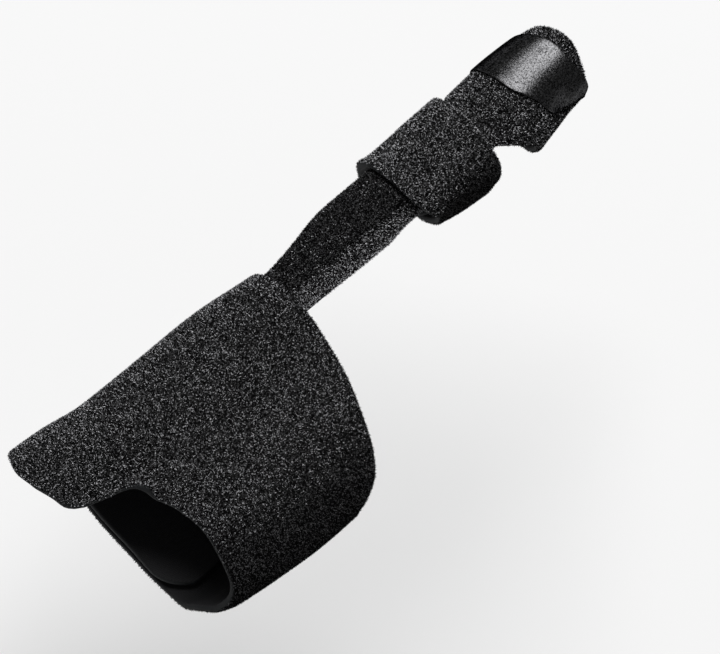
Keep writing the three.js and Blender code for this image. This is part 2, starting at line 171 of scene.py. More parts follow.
# Edges of the tip patch. Both are shares of the same length, cut back from the strip's end.
PATCH_EDGES = Table(
    ("turn", "start", "end"),
    (
        (-0.7, 0.65, 0.31), (-0.45, 0.65, 0.27), (-0.25, 0.655, 0.195), (-0.07, 0.65, 0.13),
        (0.05, 0.63, 0.12), (0.12, 0.6, 0.12), (0.25, 0.535, 0.1), (0.35, 0.505, 0.105),
        (0.43, 0.46, 0.155),
    ),
)

# The hollows. along: share of the way to the knuckle, or of the finger's length. width, height: shares
# of the hollow's. lean: how far its middle lies towards the thumb, as a share of the width.
PALM_SECTIONS = Table(
    ("along", "width", "height", "lean"),
    (
        (-1.9, 0.88, 1.04, 0.06), (-1.45, 0.905, 1.02, 0.045), (-1, 0.97, 1.01, -0.008),
        (-0.34, 1, 1, -0.012), (0.3, 0.99, 1, 0.003), (1, 0.94, 0.98, 0.012),
    ),
)
FINGER_SECTIONS = Table(
    ("along", "width", "height", "lean"),
    (
        (-0.3, 1.2, 1.05, 0.01), (0.1, 1.09, 1.05, 0.01), (0.35, 0.92, 1, 0.01), (0.42, 0.94, 1, 0),
        (0.52, 1.16, 1, -0.07), (0.62, 1.3, 1, -0.13), (0.7, 1.42, 1, -0.17),
        (0.77, 1.34, 0.98, -0.13), (0.84, 1.16, 0.96, -0.05), (0.9, 1.02, 0.93, 0),
        (1.1, 0.8, 0.84, 0.02),
    ),
)


@dataclass(frozen=True)
class Hollow:
    """The room that the palm or the finger fills, as rounded outlines across it.

    sections counts its shares from start, in units of unit. It is charted from first to last, in
    steps of grid along it and in this many steps round it. squareness is 2 for an ellipse and more
    for a squarer outline.
    """

    width: float
    height: float
    squareness: float
    sections: Table
    start: float
    unit: float
    first: float
    last: float
    grid: float = 0.5
    steps: int = 1440

    @cached_property
    def places(self) -> Array:
        """Where along it the outlines are charted."""
        return np.arange(self.first, self.last + self.grid, self.grid)

    def shares(self, name: str) -> Array:
        """One column of the sections, at each outline."""
        return self.sections.read(name, (self.places - self.start) / self.unit)

    @cached_property
    def leans(self) -> Array:
        """How far each outline lies towards the thumb."""
        return self.width * self.shares("lean")

    @cached_property
    def chart(self) -> tuple[Array, Array]:
        """Walks round each outline.

        Returns:
            The girth of each outline, and its points and outward directions at even steps round it.
        """
        sides = [self.width / 2 * self.shares("width"), self.height / 2 * self.shares("height")]
        half = np.stack(sides, axis=-1)[:, None, :]
        angle = np.linspace(0, 2 * math.pi, self.steps + 1)
        circle = np.stack([-np.sin(angle), np.cos(angle)], axis=-1)[None]
        corners = half * np.sign(circle) * np.abs(circle) ** (2 / self.squareness)
        stride = np.linalg.norm(np.diff(corners, axis=1), axis=-1)
        walked = np.concatenate([np.zeros((len(stride), 1)), np.cumsum(stride, axis=1)], axis=1)
        girth = walked[:, -1]
        even = np.linspace(0, 1, self.steps + 1)
        points = np.empty_like(corners)
        for row, length in enumerate(girth):
            for axis in range(2):
                points[row, :, axis] = np.interp(even * length, walked[row], corners[row, :, axis])
        share = points / half
        outward = unit(np.sign(share) * np.abs(share) ** (self.squareness - 1) / half)
        return girth, np.concatenate([points, outward], axis=-1)

    def girth(self, along: Array | float) -> Array:
        """The length round the outline at places along it."""
        return np.interp(along, self.places, self.chart[0])

    def across(self, along: Array, around: Array, lift: Array) -> Array:
        """Points off the outlines.

        Args:
            along: Places along the hollow.
            around: Lengths round it.
            lift: Heights off it.

        Returns:
            For each place, how far it lies towards the thumb and how far up.
        """
        girth, chart = self.chart
        row = np.clip((along - self.first) / self.grid, 0, len(girth) - 1)
        low = np.minimum(row.astype(int), len(girth) - 2)
        found = []
        for place in (low, low + 1):
            lean = self.leans[place]
            step = ((around + lean) / girth[place]) % 1.0 * self.steps
            before = np.minimum(step.astype(int), self.steps - 1)
            share = (step - before)[:, None]
            value = chart[place, before] * (1 - share) + chart[place, before + 1] * share
            value[:, 0] += lean
            found.append(value)
        t = (row - low)[:, None]
        value = found[0] * (1 - t) + found[1] * t
        return value[:, :2] + unit(value[:, 2:]) * lift[:, None]

    def towards_thumb(self, side: float) -> float:
        """Finds a place on the back of the hand at the origin.

        Args:
            side: How far it lies to the thumb's side.

        Returns:
            The place round the outline, which is minus.
        """
        girth, chart = self.chart
        row = int(round(-self.first / self.grid))
        quarter = chart[row, self.steps * 3 // 4 :, 0]
        share = np.interp(side, quarter[::-1], np.linspace(1, 0.75, len(quarter)))
        return float((share - 1) * girth[row])


@dataclass(frozen=True)
class HandForm:
    """The form under the splint: where a place on the cloth lies in space.

    The knuckle's place is measured from the origin. The bend from hand to finger starts at
    bend_start and is knuckle_bend long. yaw and drop are in degrees.
    """

    palm_width: float = 65
    palm_height: float = 26
    palm_squareness: float = 2.6
    palm_stretch: tuple[float, float] = (-72, 60)
    finger_width: float = 18
    finger_height: float = 17
    finger_squareness: float = 2.1
    finger_stretch: tuple[float, float] = (-10, 146)
    knuckle_forward: float = 35
    knuckle_side: float = 27
    knuckle_up: float = 3
    finger_length: float = 107
    finger_yaw: float = 4.6
    finger_drop: float = 2
    bend_start: float = 26.3
    knuckle_bend: float = 28
    knuckle_ease: float = 0.7
    strip_side: float = 26

    @cached_property
    def palm(self) -> Hollow:
        """The palm's hollow."""
        size = (self.palm_width, self.palm_height, self.palm_squareness)
        return Hollow(*size, PALM_SECTIONS, 0, self.knuckle_forward, *self.palm_stretch)

    @cached_property
    def finger(self) -> Hollow:
        """The finger's hollow."""
        size = (self.finger_width, self.finger_height, self.finger_squareness)
        run = (self.knuckle_forward, self.finger_length)
        return Hollow(*size, FINGER_SECTIONS, *run, *self.finger_stretch)

    @cached_property
    def strip_middle(self) -> float:
        """Where round the palm the strip's middle lies."""
        return self.palm.towards_thumb(self.strip_side)

    @cached_property
    def finger_axes(self) -> Array:
        """Rows: ahead along the finger, to the thumb's side, and up out of its back."""
        yaw, drop = math.radians(self.finger_yaw), math.radians(self.finger_drop)
        ahead = np.array(
            [math.cos(drop) * math.cos(yaw), math.cos(drop) * math.sin(yaw), -math.sin(drop)]
        )
        side = np.array([-math.sin(yaw), math.cos(yaw), 0.0])
        return np.stack([ahead, side, np.cross(ahead, side)])

    def on_palm(self, along: Array, around: Array, lift: Array) -> Array:
        """Points on the palm's outline, lifted off it."""
        return np.column_stack([along, self.palm.across(along, around, lift)])

    def on_finger(self, along: Array, around: Array, lift: Array) -> Array:
        """Places points on the finger's outline, lifted off it.

        Args:
            along: Places along the splint.
            around: Places round the finger.
            lift: Heights off it.

        Returns:
            The points in space.
        """
        own = np.column_stack(
            [along - self.knuckle_forward, self.finger.across(along, around, lift)]
        )
        knuckle = np.array([self.knuckle_forward, self.knuckle_side, self.knuckle_up])
        return knuckle + own @ self.finger_axes

    def under_strip(self, along: Array, around: Array, lift: Array) -> Array:
        """Places points on what the strip lies on: the hand, then the knuckle, then the finger.

        Args:
            along: Places along the splint.
            around: Places from the strip's middle line.
            lift: Heights off the hand or finger.

        Returns:
            The points in space.
        """
        bend_end = self.bend_start + self.knuckle_bend
        share = smoothstep(along, self.bend_start, bend_end) ** self.knuckle_ease
        hand = self.on_palm(along, self.strip_middle + around, lift)
        finger = self.on_finger(along, around, lift)
        return hand + (finger - hand) * share[:, None]


@dataclass(frozen=True)
class Fit:
    """How the layers of cloth lie on each other.

    gap is between two layers, hook the thickness of the hook tape, and rise the length over which a
    band's end climbs onto its other end. unevenness is the height of the waves in worn cloth, wave
    their length and wave_spread how much it varies. rim is how far a cut edge is rounded.
    """

    form: HandForm
    gap: float = 0.3
    hook: float = 0.9
    rise: float = 9.0
    unevenness: float = 0.3
    wave: float = 21.0
    wave_spread: tuple[float, float] = (0.6, 1.4)
    waves: int = 7
    seed: int = 5
    rim: float = 0.7

    def over_end(self, around: Array, girth: Array, reach: float, thickness: float) -> Array:
        """How high the outer end of a band rides over its inner end.

        Args:
            around: Lengths round the band.
            girth: The length round what it lies on.
            reach: Half of the band's length.
            thickness: The band's thickness.

        Returns:
            Heights to add to the band's own.
        """
        inner_end = girth - reach
        height = thickness + self.hook + 2 * self.gap
        return height * smoothstep(around, inner_end - self.rise, inner_end - self.gap)

    def settle(self, points: Array) -> Array:
        """Pushes every layer at a place by the same small amount, as worn cloth lies unevenly.

        Args:
            points: Points in space.

        Returns:
            The points after the push.
        """
        random = np.random.default_rng(self.seed)
        ways = unit(random.normal(size=(self.waves, 3)))
        runs = unit(random.normal(size=(self.waves, 3))) * 2 * math.pi / self.wave
        runs *= random.uniform(*self.wave_spread, (self.waves, 1))
        phases = random.uniform(0, 2 * math.pi, self.waves)
        push = np.sin(points @ runs.T + phases) @ ways
        return points + push * self.unevenness * math.sqrt(2 / self.waves)


def corner_cut(radius: float, from_end: Array) -> Array:
    """How far a rounded corner has cut an edge back.

    Args:
        radius: The corner's radius.
        from_end: Distances from the cloth's end.

    Returns:
        The distance that the edge is back there.
    """
    inside = np.clip(radius - from_end, 0, radius)
    return radius - np.sqrt(radius * radius - inside**2)


def cut_back(around: Array, edge: Array, rim: float) -> Array:
    """How far along the splint an edge moves when its cloth is cut narrower by a rim's width.

    Args:
        around: The columns' places round the hand or finger.
        edge: The edge's places along the splint.
        rim: The rim's width.

    Returns:
        The distance for each column.
    """
    return rim * np.minimum(np.hypot(1, np.gradient(edge, around)), STEEPEST_CUT)


def edge_rows(count: int, evenness: float = 0.45) -> Array:
    """Spaces rows across a panel, closer at both edges.

    Args:
        count: How many cells there are across it.
        evenness: 1 for even rows, and less for closer ones at the edges.

    Returns:
        Shares of the way across.
    """
    t = np.linspace(0, 1, count + 1)
    return t - (1 - evenness) * np.sin(2 * math.pi * t) / (2 * math.pi)


class Cut:
    """The cut of a piece of cloth, as panels of cells that share their corners."""

    def __init__(self) -> None:
        """Starts with no panel."""
        self.places: list[Array] = []
        self.cells: list[Array] = []

    def add_panel(self, around: Array, starts: Array, ends: Array, rows: Array) -> "Cut":
        """Adds a panel.

        Args:
            around: The columns' lengths round the hand or finger.
            starts: Where along the splint each column starts.
            ends: Where it ends.
            rows: Shares of the way from start to end.

        Returns:
            The cut itself.
        """
        along = starts + (ends - starts) * rows[:, None]
        spots = np.stack([along, np.broadcast_to(around, along.shape)], axis=-1)
        index = np.arange(along.size).reshape(along.shape) + sum(map(len, self.places))
        cell = [index[:-1, :-1], index[1:, :-1], index[1:, 1:], index[:-1, 1:]]
        self.cells.append(np.stack(cell, axis=-1).reshape(-1, 4))
        self.places.append(spots.reshape(-1, 2))
        return self

    def joined(self) -> tuple[Array, Array]:
        """Joins the panels.

        Returns:
            The cut's places, each once, and its cells as corners of them.
        """
        spots = np.concatenate(self.places)
        keys = np.round(spots * MERGE_LINES).astype(np.int64)
        _, first, same = np.unique(keys, axis=0, return_index=True, return_inverse=True)
        return spots[first], same.reshape(-1)[np.concatenate(self.cells)]


def nowhere(along: Array, around: Array) -> Array:
    """Nought at every place."""
    return np.zeros(along.shape)


def outline_of(cells: Array) -> Array:
    """Finds the outer edges of a cut.

    Args:
        cells: Its cells, as corners.

    Returns:
        Its outer edges, each from corner to corner the way its cell goes.
    """
    edges = np.concatenate([np.stack([cells[:, i], cells[:, (i + 1) % 4]], 1) for i in range(4)])
    base = int(edges.max()) + 1
    forward, back = edges[:, 0] * base + edges[:, 1], edges[:, 1] * base + edges[:, 0]
    return edges[~np.isin(forward, back)]


class Side(Enum):
    """The faces of a laminate, as the places of their materials on its mesh."""

    OUTER = 0
    INNER = 1
    EDGE = 2


@dataclass(frozen=True)
class Laminate:
    """A cut cloth with two faces and a rounded rim, as one closed body.

    surface gives the points of the inner face at 0 and the outer face at 1. plots gives the number of
    the pile that each place of the outer face carries, or 0 where it carries none. The function after
    plots gives the pile's painted light and shade: more than 0 where its tufts are painted paler as
    painted light, and less than 0 where they are painted darker as painted shade. bulge is how far
    the rim stands out of the cut's edge, and rings how many rings of points it has. The faces before
    its ring number piled_rings carry pile too.
    """

    name: str
    cut: Cut
    surface: Callable[[Array, Array, float], Array]
    plots: Callable[[Array, Array], Array]
    # Painted light and shade on the pile's tufts.
    nap: Callable[[Array, Array], Array]
    bulge: float = 0.7
    bulge_shape: float = 0.8
    rings: int = 5
    piled_rings: int = 2

    def rim(self, outer: Array, inner: Array, edges: Array) -> tuple[Array, Array]:
        """The rings of points between the two faces' edges.

        Args:
            outer: Points of the outer face.
            inner: Points of the inner face.
            edges: The cut's outer edges.

        Returns:
            The places of the cut that the rings pass, and the rings' points, ring by ring.
        """
        wall = unit(outer - inner)
        step = outer[edges[:, 1]] - outer[edges[:, 0]]
        out = np.zeros_like(outer)
        for end in range(2):
            np.add.at(out, edges[:, end], unit(np.cross(wall[edges[:, end]], step)))
        border = np.unique(edges)
        away = unit(out[border])
        rings = []
        for ring in range(1, self.rings + 1):
            turn = math.pi * ring / (self.rings + 1)
            share = (1 - math.cos(turn)) / 2
            middle = outer[border] * (1 - share) + inner[border] * share
            rings.append(middle + away * self.bulge * math.sin(turn) ** self.bulge_shape)
        return border, np.concatenate(rings)

    def middle(self, along: Array, around: Array) -> Array:
        """Points halfway between its two faces."""
        return (self.surface(along, around, 1.0) + self.surface(along, around, 0.0)) / 2

    def declare(
        self, level: float
    ) -> None:
        """Works out how large its cloth is when flat, measured inside its wall; the sizes are not used.

        Args:
            level: Where along the splint its length round the hand or finger is taken.
        """
        spots, cells = self.cut.joined()
        along, around = spots.T
        middle = self.middle(along, around)
        corners = middle[cells]
        panels = np.cross(corners[:, 2] - corners[:, 0], corners[:, 3] - corners[:, 1]) / 2
        hem = np.diff(middle[outline_of(cells)], axis=1)
        area = length_of(panels) + length_of(hem) * self.bulge
        columns = np.linspace(around.min(), around.max(), len(spots))
        walk = np.diff(self.middle(np.full_like(columns, level), columns), axis=0)
        flat = (length_of(walk) + 2 * self.bulge, float(np.ptp(along)) + 2 * self.bulge)
        flat[0] * MM
        flat[1] * MM
        area * MM**2

    def side_of(self, ring: int) -> Side:
        """Names the side that the faces before a ring of the rim belong to.

        Args:
            ring: The ring, counted from the outer face.

        Returns:
            The side.
        """
        if ring == 0:
            return Side.OUTER
        return Side.INNER if ring == self.rings else Side.EDGE

    def faces(self, cells: Array, edges: Array, border: Array, count: int) -> Array:
        """Lists the faces of the whole body.

        Args:
            cells: The cut's cells.
            edges: Its outer edges.
            border: The places that the rim's rings pass.
            count: How many places the cut has.

        Returns:
            The faces' corners: first the outer face, then the inner face, then the rim.
        """
        place = np.zeros(count, int)
        place[border] = np.arange(len(border))
        layers = [edges]
        layers += [place[edges] + 2 * count + ring * len(border) for ring in range(self.rings)]
        layers.append(edges + count)
        faces = [cells[:, [0, 3, 2, 1]], cells + count]
        for near, far in zip(layers, layers[1:]):
            faces.append(np.column_stack([near[:, 0], near[:, 1], far[:, 1], far[:, 0]]))
        return np.concatenate(faces)

    def marks(self, spots: Array, cells: Array, edges: Array) -> tuple[Array, Array, Array]:
        """Says what each face is.

        Args:
            spots: The cut's places.
            cells: Its cells.
            edges: Its outer edges.

        Returns:
            The side, the pile's plot and the painted light and shade of each face, in the order of
            faces().
        """
        middle, hem = spots[cells].mean(axis=1).T, spots[edges].mean(axis=1).T
        piled, hem_piled = self.plots(*middle), self.plots(*hem)
        sides = [np.full(len(cells), side.value) for side in (Side.OUTER, Side.INNER)]
        plots = [piled, nowhere(*middle)]
        for ring in range(self.rings + 1):
            sides.append(np.full(len(edges), self.side_of(ring).value))
            plots.append(hem_piled if ring < self.piled_rings else nowhere(*hem))
        nap = [self.nap(*middle)] * 2 + [self.nap(*hem)] * (self.rings + 1)
        return np.concatenate(sides), np.concatenate(plots), np.concatenate(nap)

    def build(self, materials: "list[bpy.types.Material]") -> bpy.types.Object:
        """Makes the mesh object.

        Args:
            materials: The materials of its outer face, inner face and edge.

        Returns:
            The object, at the origin.
        """
        spots, cells = self.cut.joined()
        edges = outline_of(cells)
        outer, inner = self.surface(*spots.T, 1.0), self.surface(*spots.T, 0.0)
        border, rings = self.rim(outer, inner, edges)
        points = np.concatenate([outer, inner, rings]) * MM
        faces = self.faces(cells, edges, border, len(spots))
        sides, plots, nap = self.marks(spots, cells, edges)
        mesh = bpy.data.meshes.new(self.name)
        mesh.from_pydata(points.tolist(), [], faces.tolist())
        for material in materials:
            mesh.materials.append(material)
        mesh.polygons.foreach_set("material_index", sides.astype(np.int32))
        mesh.shade_smooth()
        # Painted light and shade for the pile's tufts, stored on each face.
        for kind, values in (("pile", plots), ("nap", nap)):
            layer = mesh.attributes.new(kind, "FLOAT", "FACE")
            layer.data.foreach_set("value", values.astype(np.float32))
        own = np.concatenate([spots, spots, np.tile(spots[border], (self.rings, 1))])
        corner = np.empty(len(mesh.loops), np.int32)
        mesh.loops.foreach_get("vertex_index", corner)
        layer = mesh.uv_layers.new(name="cut")
        layer.uv.foreach_set("vector", (own[corner] * MM).astype(np.float32).ravel())
        return add_object(self.name, mesh)


def add_object(name: str, mesh: bpy.types.Mesh) -> bpy.types.Object:
    """Puts a mesh into the scene as an object at the origin.

    Args:
        name: The object's name.
        mesh: The mesh.

    Returns:
        The object.
    """
    piece = bpy.data.objects.new(name, mesh)
    bpy.context.scene.collection.objects.link(piece)
    return piece


def triangles_of(piece: bpy.types.Object) -> int:
    """How many triangles a piece has."""
    return sum(len(face.vertices) - 2 for face in piece.data.polygons)


class Wire:
    """A socket of a node tree, on which Python's arithmetic adds Math nodes."""

    def __init__(self, tree: "Tree", socket: bpy.types.NodeSocket) -> None:
        """Wraps an output socket of a tree."""
        self.tree = tree
        self.socket = socket

    def math(self, operation: str, *values: "Wire | float") -> "Wire":
        """Adds one Math node on these values."""
        return self.tree.add("ShaderNodeMath", {"operation": operation}, dict(enumerate(values)))

    def sibling(self, output: str) -> "Wire":
        """Another output of the same node."""
        return Wire(self.tree, self.tree.find(self.socket.node.outputs, output))

    def __add__(self, other: "Wire | float") -> "Wire":
        """self + other"""
        return self.math("ADD", self, other)

    def __radd__(self, other: float) -> "Wire":
        """other + self"""
        return self.math("ADD", other, self)

    def __sub__(self, other: "Wire | float") -> "Wire":
        """self - other"""
        return self.math("SUBTRACT", self, other)

    def __rsub__(self, other: float) -> "Wire":
        """other - self"""
        return self.math("SUBTRACT", other, self)

    def __mul__(self, other: "Wire | float") -> "Wire":
        """self * other"""
        return self.math("MULTIPLY", self, other)

    def __rmul__(self, other: float) -> "Wire":
        """other * self"""
        return self.math("MULTIPLY", other, self)

    def __pow__(self, other: "Wire | float") -> "Wire":
        """self ** other"""
        return self.math("POWER", self, other)

    def __gt__(self, other: "Wire | float") -> "Wire":
        """1 where self is more than other, and else 0"""
        return self.math("GREATER_THAN", self, other)

    def same_as(self, other: "Wire") -> "Wire":
        """1 where two whole numbers are the same, and else 0."""
        return self.math("COMPARE", self, other, 0.5)

    def held(self) -> "Wire":
        """The value kept between 0 and 1."""
        return self.tree.add("ShaderNodeClamp", {}, {"Value": self})


class Tree:
    """A shader or geometry node tree under construction."""

    def __init__(self, tree: bpy.types.NodeTree) -> None:
        """Empties the tree and takes it over."""
        self.tree = tree
        tree.nodes.clear()

    @staticmethod
    def find(sockets: Any, key: str | int) -> bpy.types.NodeSocket:
        """Finds a socket of a node.

        Args:
            sockets: The node's inputs or outputs.
            key: The socket's place, or its name among those in use.

        Returns:
            The socket.
        """
        if isinstance(key, int):
            return sockets[key]
        return next(socket for socket in sockets if socket.enabled and socket.name == key)

    def add(
        self,
        kind: str,
        settings: Mapping[str, Any] | None = None,
        values: Mapping[str | int, Any] | None = None,
        output: str | int = 0,
    ) -> Wire:
        """Adds a node.

        Args:
            kind: The node's type.
            settings: Its properties, which are set first.
            values: The values or links of its inputs, by name or place.
            output: The output that is wanted, by name or place.

        Returns:
            That output.
        """
        node = self.tree.nodes.new(kind)
        for name, value in (settings or {}).items():
            setattr(node, name, value)
        for key, value in (values or {}).items():
            socket = self.find(node.inputs, key)
            if isinstance(value, Wire):
                self.tree.links.new(value.socket, socket)
            else:
                socket.default_value = value
        return Wire(self, self.find(node.outputs, output))

    def place(self) -> Wire:
        """The place on the piece, in its object's own coordinates."""
        return self.add("ShaderNodeTexCoord", output="Object")

    def attribute(self, name: str) -> Wire:
        """A number that is stored on the mesh, in a geometry tree."""
        settings = {"data_type": "FLOAT"}
        return self.add("GeometryNodeInputNamedAttribute", settings, {"Name": name}, "Attribute")

    def blend(self, share: Wire, dark: Shade, pale: Shade) -> Wire:
        """Mixes two colours.

        Args:
            share: 0 for the dark colour and 1 for the pale one.
            dark: The dark colour.
            pale: The pale colour.

        Returns:
            The wire of the mixed colour.
        """
        return self.add(
            "ShaderNodeMix",
            {"data_type": "RGBA"},
            {"Factor": share, "A": (*dark, 1), "B": (*pale, 1)},
            "Result",
        )

    def cells(self, at: Wire, size: float) -> Wire:
        """Random cells of a size in millimetres: the distance to each cell's middle."""
        values = {"Vector": at, "Scale": 1 / (size * MM)}
        return self.add("ShaderNodeTexVoronoi", {}, values, "Distance")

    def clouds(self, at: Wire, size: float, detail: float) -> Wire:
        """Smooth noise of a size in millimetres, from 0 to 1."""
        values = {"Vector": at, "Scale": 1 / (size * MM), "Detail": detail}
        return self.add("ShaderNodeTexNoise", {}, values, "Fac")

    def random_of(self, cell: Wire) -> Wire:
        """A random number for each cell."""
        return self.add("ShaderNodeSeparateColor", {}, {"Color": cell.sibling("Color")}, "Red")

    def bump(self, height: Wire, strength: float, depth: float) -> Wire:
        """A normal from a height. depth is in millimetres."""
        values = {"Height": height, "Strength": strength, "Distance": depth * MM}
        return self.add("ShaderNodeBump", {}, values)

    def surface(self, values: Mapping[str | int, Any]) -> None:
        """Ends a shader tree in one Principled shader with these values."""
        shader = self.add("ShaderNodeBsdfPrincipled", {}, values)
        self.add_output("ShaderNodeOutputMaterial", {"Surface": shader})

    def add_output(self, kind: str, values: Mapping[str | int, Wire]) -> None:
        """Adds a node that has inputs only.

        Args:
            kind: The node's type.
            values: The wires by the names or places of its inputs.
        """
        node = self.tree.nodes.new(kind)
        for key, wire in values.items():
            self.tree.links.new(wire.socket, self.find(node.inputs, key))


def new_material(name: str) -> tuple[bpy.types.Material, Tree]:
    """Makes a material.

    Args:
        name: The material's name.

    Returns:
        The material and its emptied tree.
    """
    material = bpy.data.materials.new(name)
    material.use_nodes = True
    return material, Tree(material.node_tree)


@dataclass(frozen=True)
class Finish(ABC):
    """A material of a dark and a pale shade in a pattern with relief.

    relief is the strength of its bumps, and depth their height in millimetres. gloss is the specular
    level, metal the share that mirrors as metal does, and grazing the tint of what a metal mirrors
    when seen edge on.
    """

    name: str
    dark: Shade
    pale: Shade
    roughness: float
    relief: float
    depth: float
    gloss: float = 0.5
    metal: float = 0.0
    grazing: Shade = (1, 1, 1)

    @abstractmethod
    def pattern(self, tree: Tree) -> tuple[Wire, Wire, Wire | float]:
        """Builds the pattern.

        Args:
            tree: The material's tree.

        Returns:
            The share of the pale shade, the height of the relief, and the roughness.
        """

    def material(self) -> bpy.types.Material:
        """Builds the material."""
        material, tree = new_material(self.name)
        share, height, roughness = self.pattern(tree)
        tree.surface(
            {
                "Base Color": tree.blend(share, self.dark, self.pale),
                "Metallic": self.metal,
                "Roughness": roughness,
                "Specular IOR Level": self.gloss,
                "Specular Tint": (*self.grazing, 1),
                "Normal": tree.bump(height, self.relief, self.depth),
            }
        )
        return material


@dataclass(frozen=True)
class LoopPlush(Finish):
    """The ground of the brushed loop plush, between and under its tufts.

    A few of its loops are pale, as painted glints of fibres that catch the light, and rarity says
    how few. They gather in patches.
    """

    name: str = "loop_plush"
    dark: Shade = (0.0015, 0.0015, 0.0016)
    # The pale shade is a painted glint of loops catching the light.
    pale: Shade = (0.3, 0.3, 0.305)
    roughness: float = 0.8
    relief: float = 0.9
    depth: float = 0.25
    gloss: float = 0.03
    loop: float = 0.36
    steepness: float = 1.5
    rarity: int = 5
    patch: float = 5.0
    patch_detail: float = 2.0
    outside_patches: float = 0.5
    lowest_loop: float = 0.4

    def pattern(self, tree: Tree) -> tuple[Wire, Wire, Wire | float]:
        """Draws domed loops of uneven height.

        Args:
            tree: The material's tree.

        Returns:
            The share of the pale colour, the height and the roughness.
        """
        at = tree.place()
        loop = tree.cells(at, self.loop)
        chance = tree.random_of(loop)
        dome = (1 - loop * self.steepness).held()
        patches = self.outside_patches + tree.clouds(at, self.patch, self.patch_detail)
        height = dome * (self.lowest_loop + (1 - self.lowest_loop) * chance)
        return (dome * chance**self.rarity * patches).held(), height, self.roughness


@dataclass(frozen=True)
class Yarn:
    """One shade of the tufts' yarn, the same all over."""

    name: str
    shade: float
    roughness: float
    gloss: float
    coolness: float = 1.04

    def material(self) -> bpy.types.Material:
        """Builds the material."""
        material, tree = new_material(self.name)
        tree.surface(
            {
                "Base Color": (self.shade, self.shade, self.shade * self.coolness, 1),
                "Roughness": self.roughness,
                "Specular IOR Level": self.gloss,
            }
        )
        return material


@dataclass(frozen=True)
class Lining(Finish):
    """The smooth knit on the inner face, with ribs that follow the cut."""

    name: str = "knit_lining"
    dark: Shade = (0.007, 0.007, 0.008)
    pale: Shade = (0.02, 0.02, 0.022)
    roughness: float = 0.75
    relief: float = 0.6
    depth: float = 0.12
    gloss: float = 0.3
    rib: float = 0.55
    rib_share: float = 0.7

    def pattern(self, tree: Tree) -> tuple[Wire, Wire, Wire | float]:
        """Draws ribs one way, and fainter ribs across them.

        Args:
            tree: The material's tree.

        Returns:
            The share of the pale colour, the height and the roughness.
        """
        at = tree.add("ShaderNodeUVMap", {"uv_map": "cut"})
        values = {"Vector": at, "Scale": 2 / math.tau / (self.rib * MM)}
        ribs = tree.add("ShaderNodeTexWave", {"bands_direction": "Y"}, values, "Fac")
        cross = tree.add("ShaderNodeTexWave", {"bands_direction": "X"}, values, "Fac")
        knit = ribs * self.rib_share + cross * (1 - self.rib_share)
        return knit, knit, self.roughness


@dataclass(frozen=True)
class FoamEdge(Finish):
    """The cut edge of the laminate, where its foam shows."""

    name: str = "foam_edge"
    dark: Shade = (0.003, 0.0035, 0.004)
    pale: Shade = (0.014, 0.016, 0.018)
    roughness: float = 0.8
    relief: float = 0.5
    depth: float = 0.1
    gloss: float = 0.3
    pore: float = 0.3

    def pattern(self, tree: Tree) -> tuple[Wire, Wire, Wire | float]:
        """Pores."""
        pores = tree.cells(tree.place(), self.pore)
        return pores, pores, self.roughness


@dataclass(frozen=True)
class Satin(Finish):
    """The close-woven tape of the patch, which shines where it faces the light."""

    name: str = "satin_tape"
    dark: Shade = (0.01, 0.01, 0.0103)
    pale: Shade = (0.1, 0.1, 0.103)
    roughness: float = 0.2
    relief: float = 0.35
    depth: float = 0.06
    metal: float = 1.0
    grazing: Shade = (0, 0, 0)
    thread: float = 0.3
    lowest_thread: float = 0.4
    rougher_threads: float = 0.13
    cloud: float = 3.0
    cloud_detail: float = 3.0
    cloud_share: float = 0.6

    def pattern(self, tree: Tree) -> tuple[Wire, Wire, Wire | float]:
        """Draws fine threads of uneven shade, height and roughness.

        Args:
            tree: The material's tree.

        Returns:
            The share of the pale colour, the height and the roughness.
        """
        at = tree.place()
        grain = tree.cells(at, self.thread)
        chance = tree.random_of(grain)
        cloud = tree.clouds(at, self.cloud, self.cloud_detail)
        height = (1 - grain) * (self.lowest_thread + (1 - self.lowest_thread) * chance)
        shade = chance * (self.cloud_share + self.cloud_share * cloud)
        return shade, height, self.roughness + self.rougher_threads * chance


@dataclass(frozen=True)
class HookTape(Finish):
    """The tape of small stiff hooks between two ends of cloth."""

    name: str = "hook_tape"
    dark: Shade = (0.006, 0.006, 0.006)
    pale: Shade = (0.03, 0.03, 0.03)
    roughness: float = 0.6
    relief: float = 0.8
    depth: float = 0.3
    hook: float = 0.8
    steepness: float = 1.6

    def pattern(self, tree: Tree) -> tuple[Wire, Wire, Wire | float]:
        """Paler knobs."""
        knob = (1 - tree.cells(tree.place(), self.hook) * self.steepness).held()
        return knob, knob, self.roughness


@dataclass(frozen=True)
class StudioFloor:
    """The plain pale floor."""

    shade: float = 0.8
    roughness: float = 0.9

    def material(self) -> bpy.types.Material:
        """Builds the material."""
        material, tree = new_material("studio_floor")
        colour = (self.shade, self.shade, self.shade, 1)
        tree.surface({"Base Color": colour, "Roughness": self.roughness})
        return material


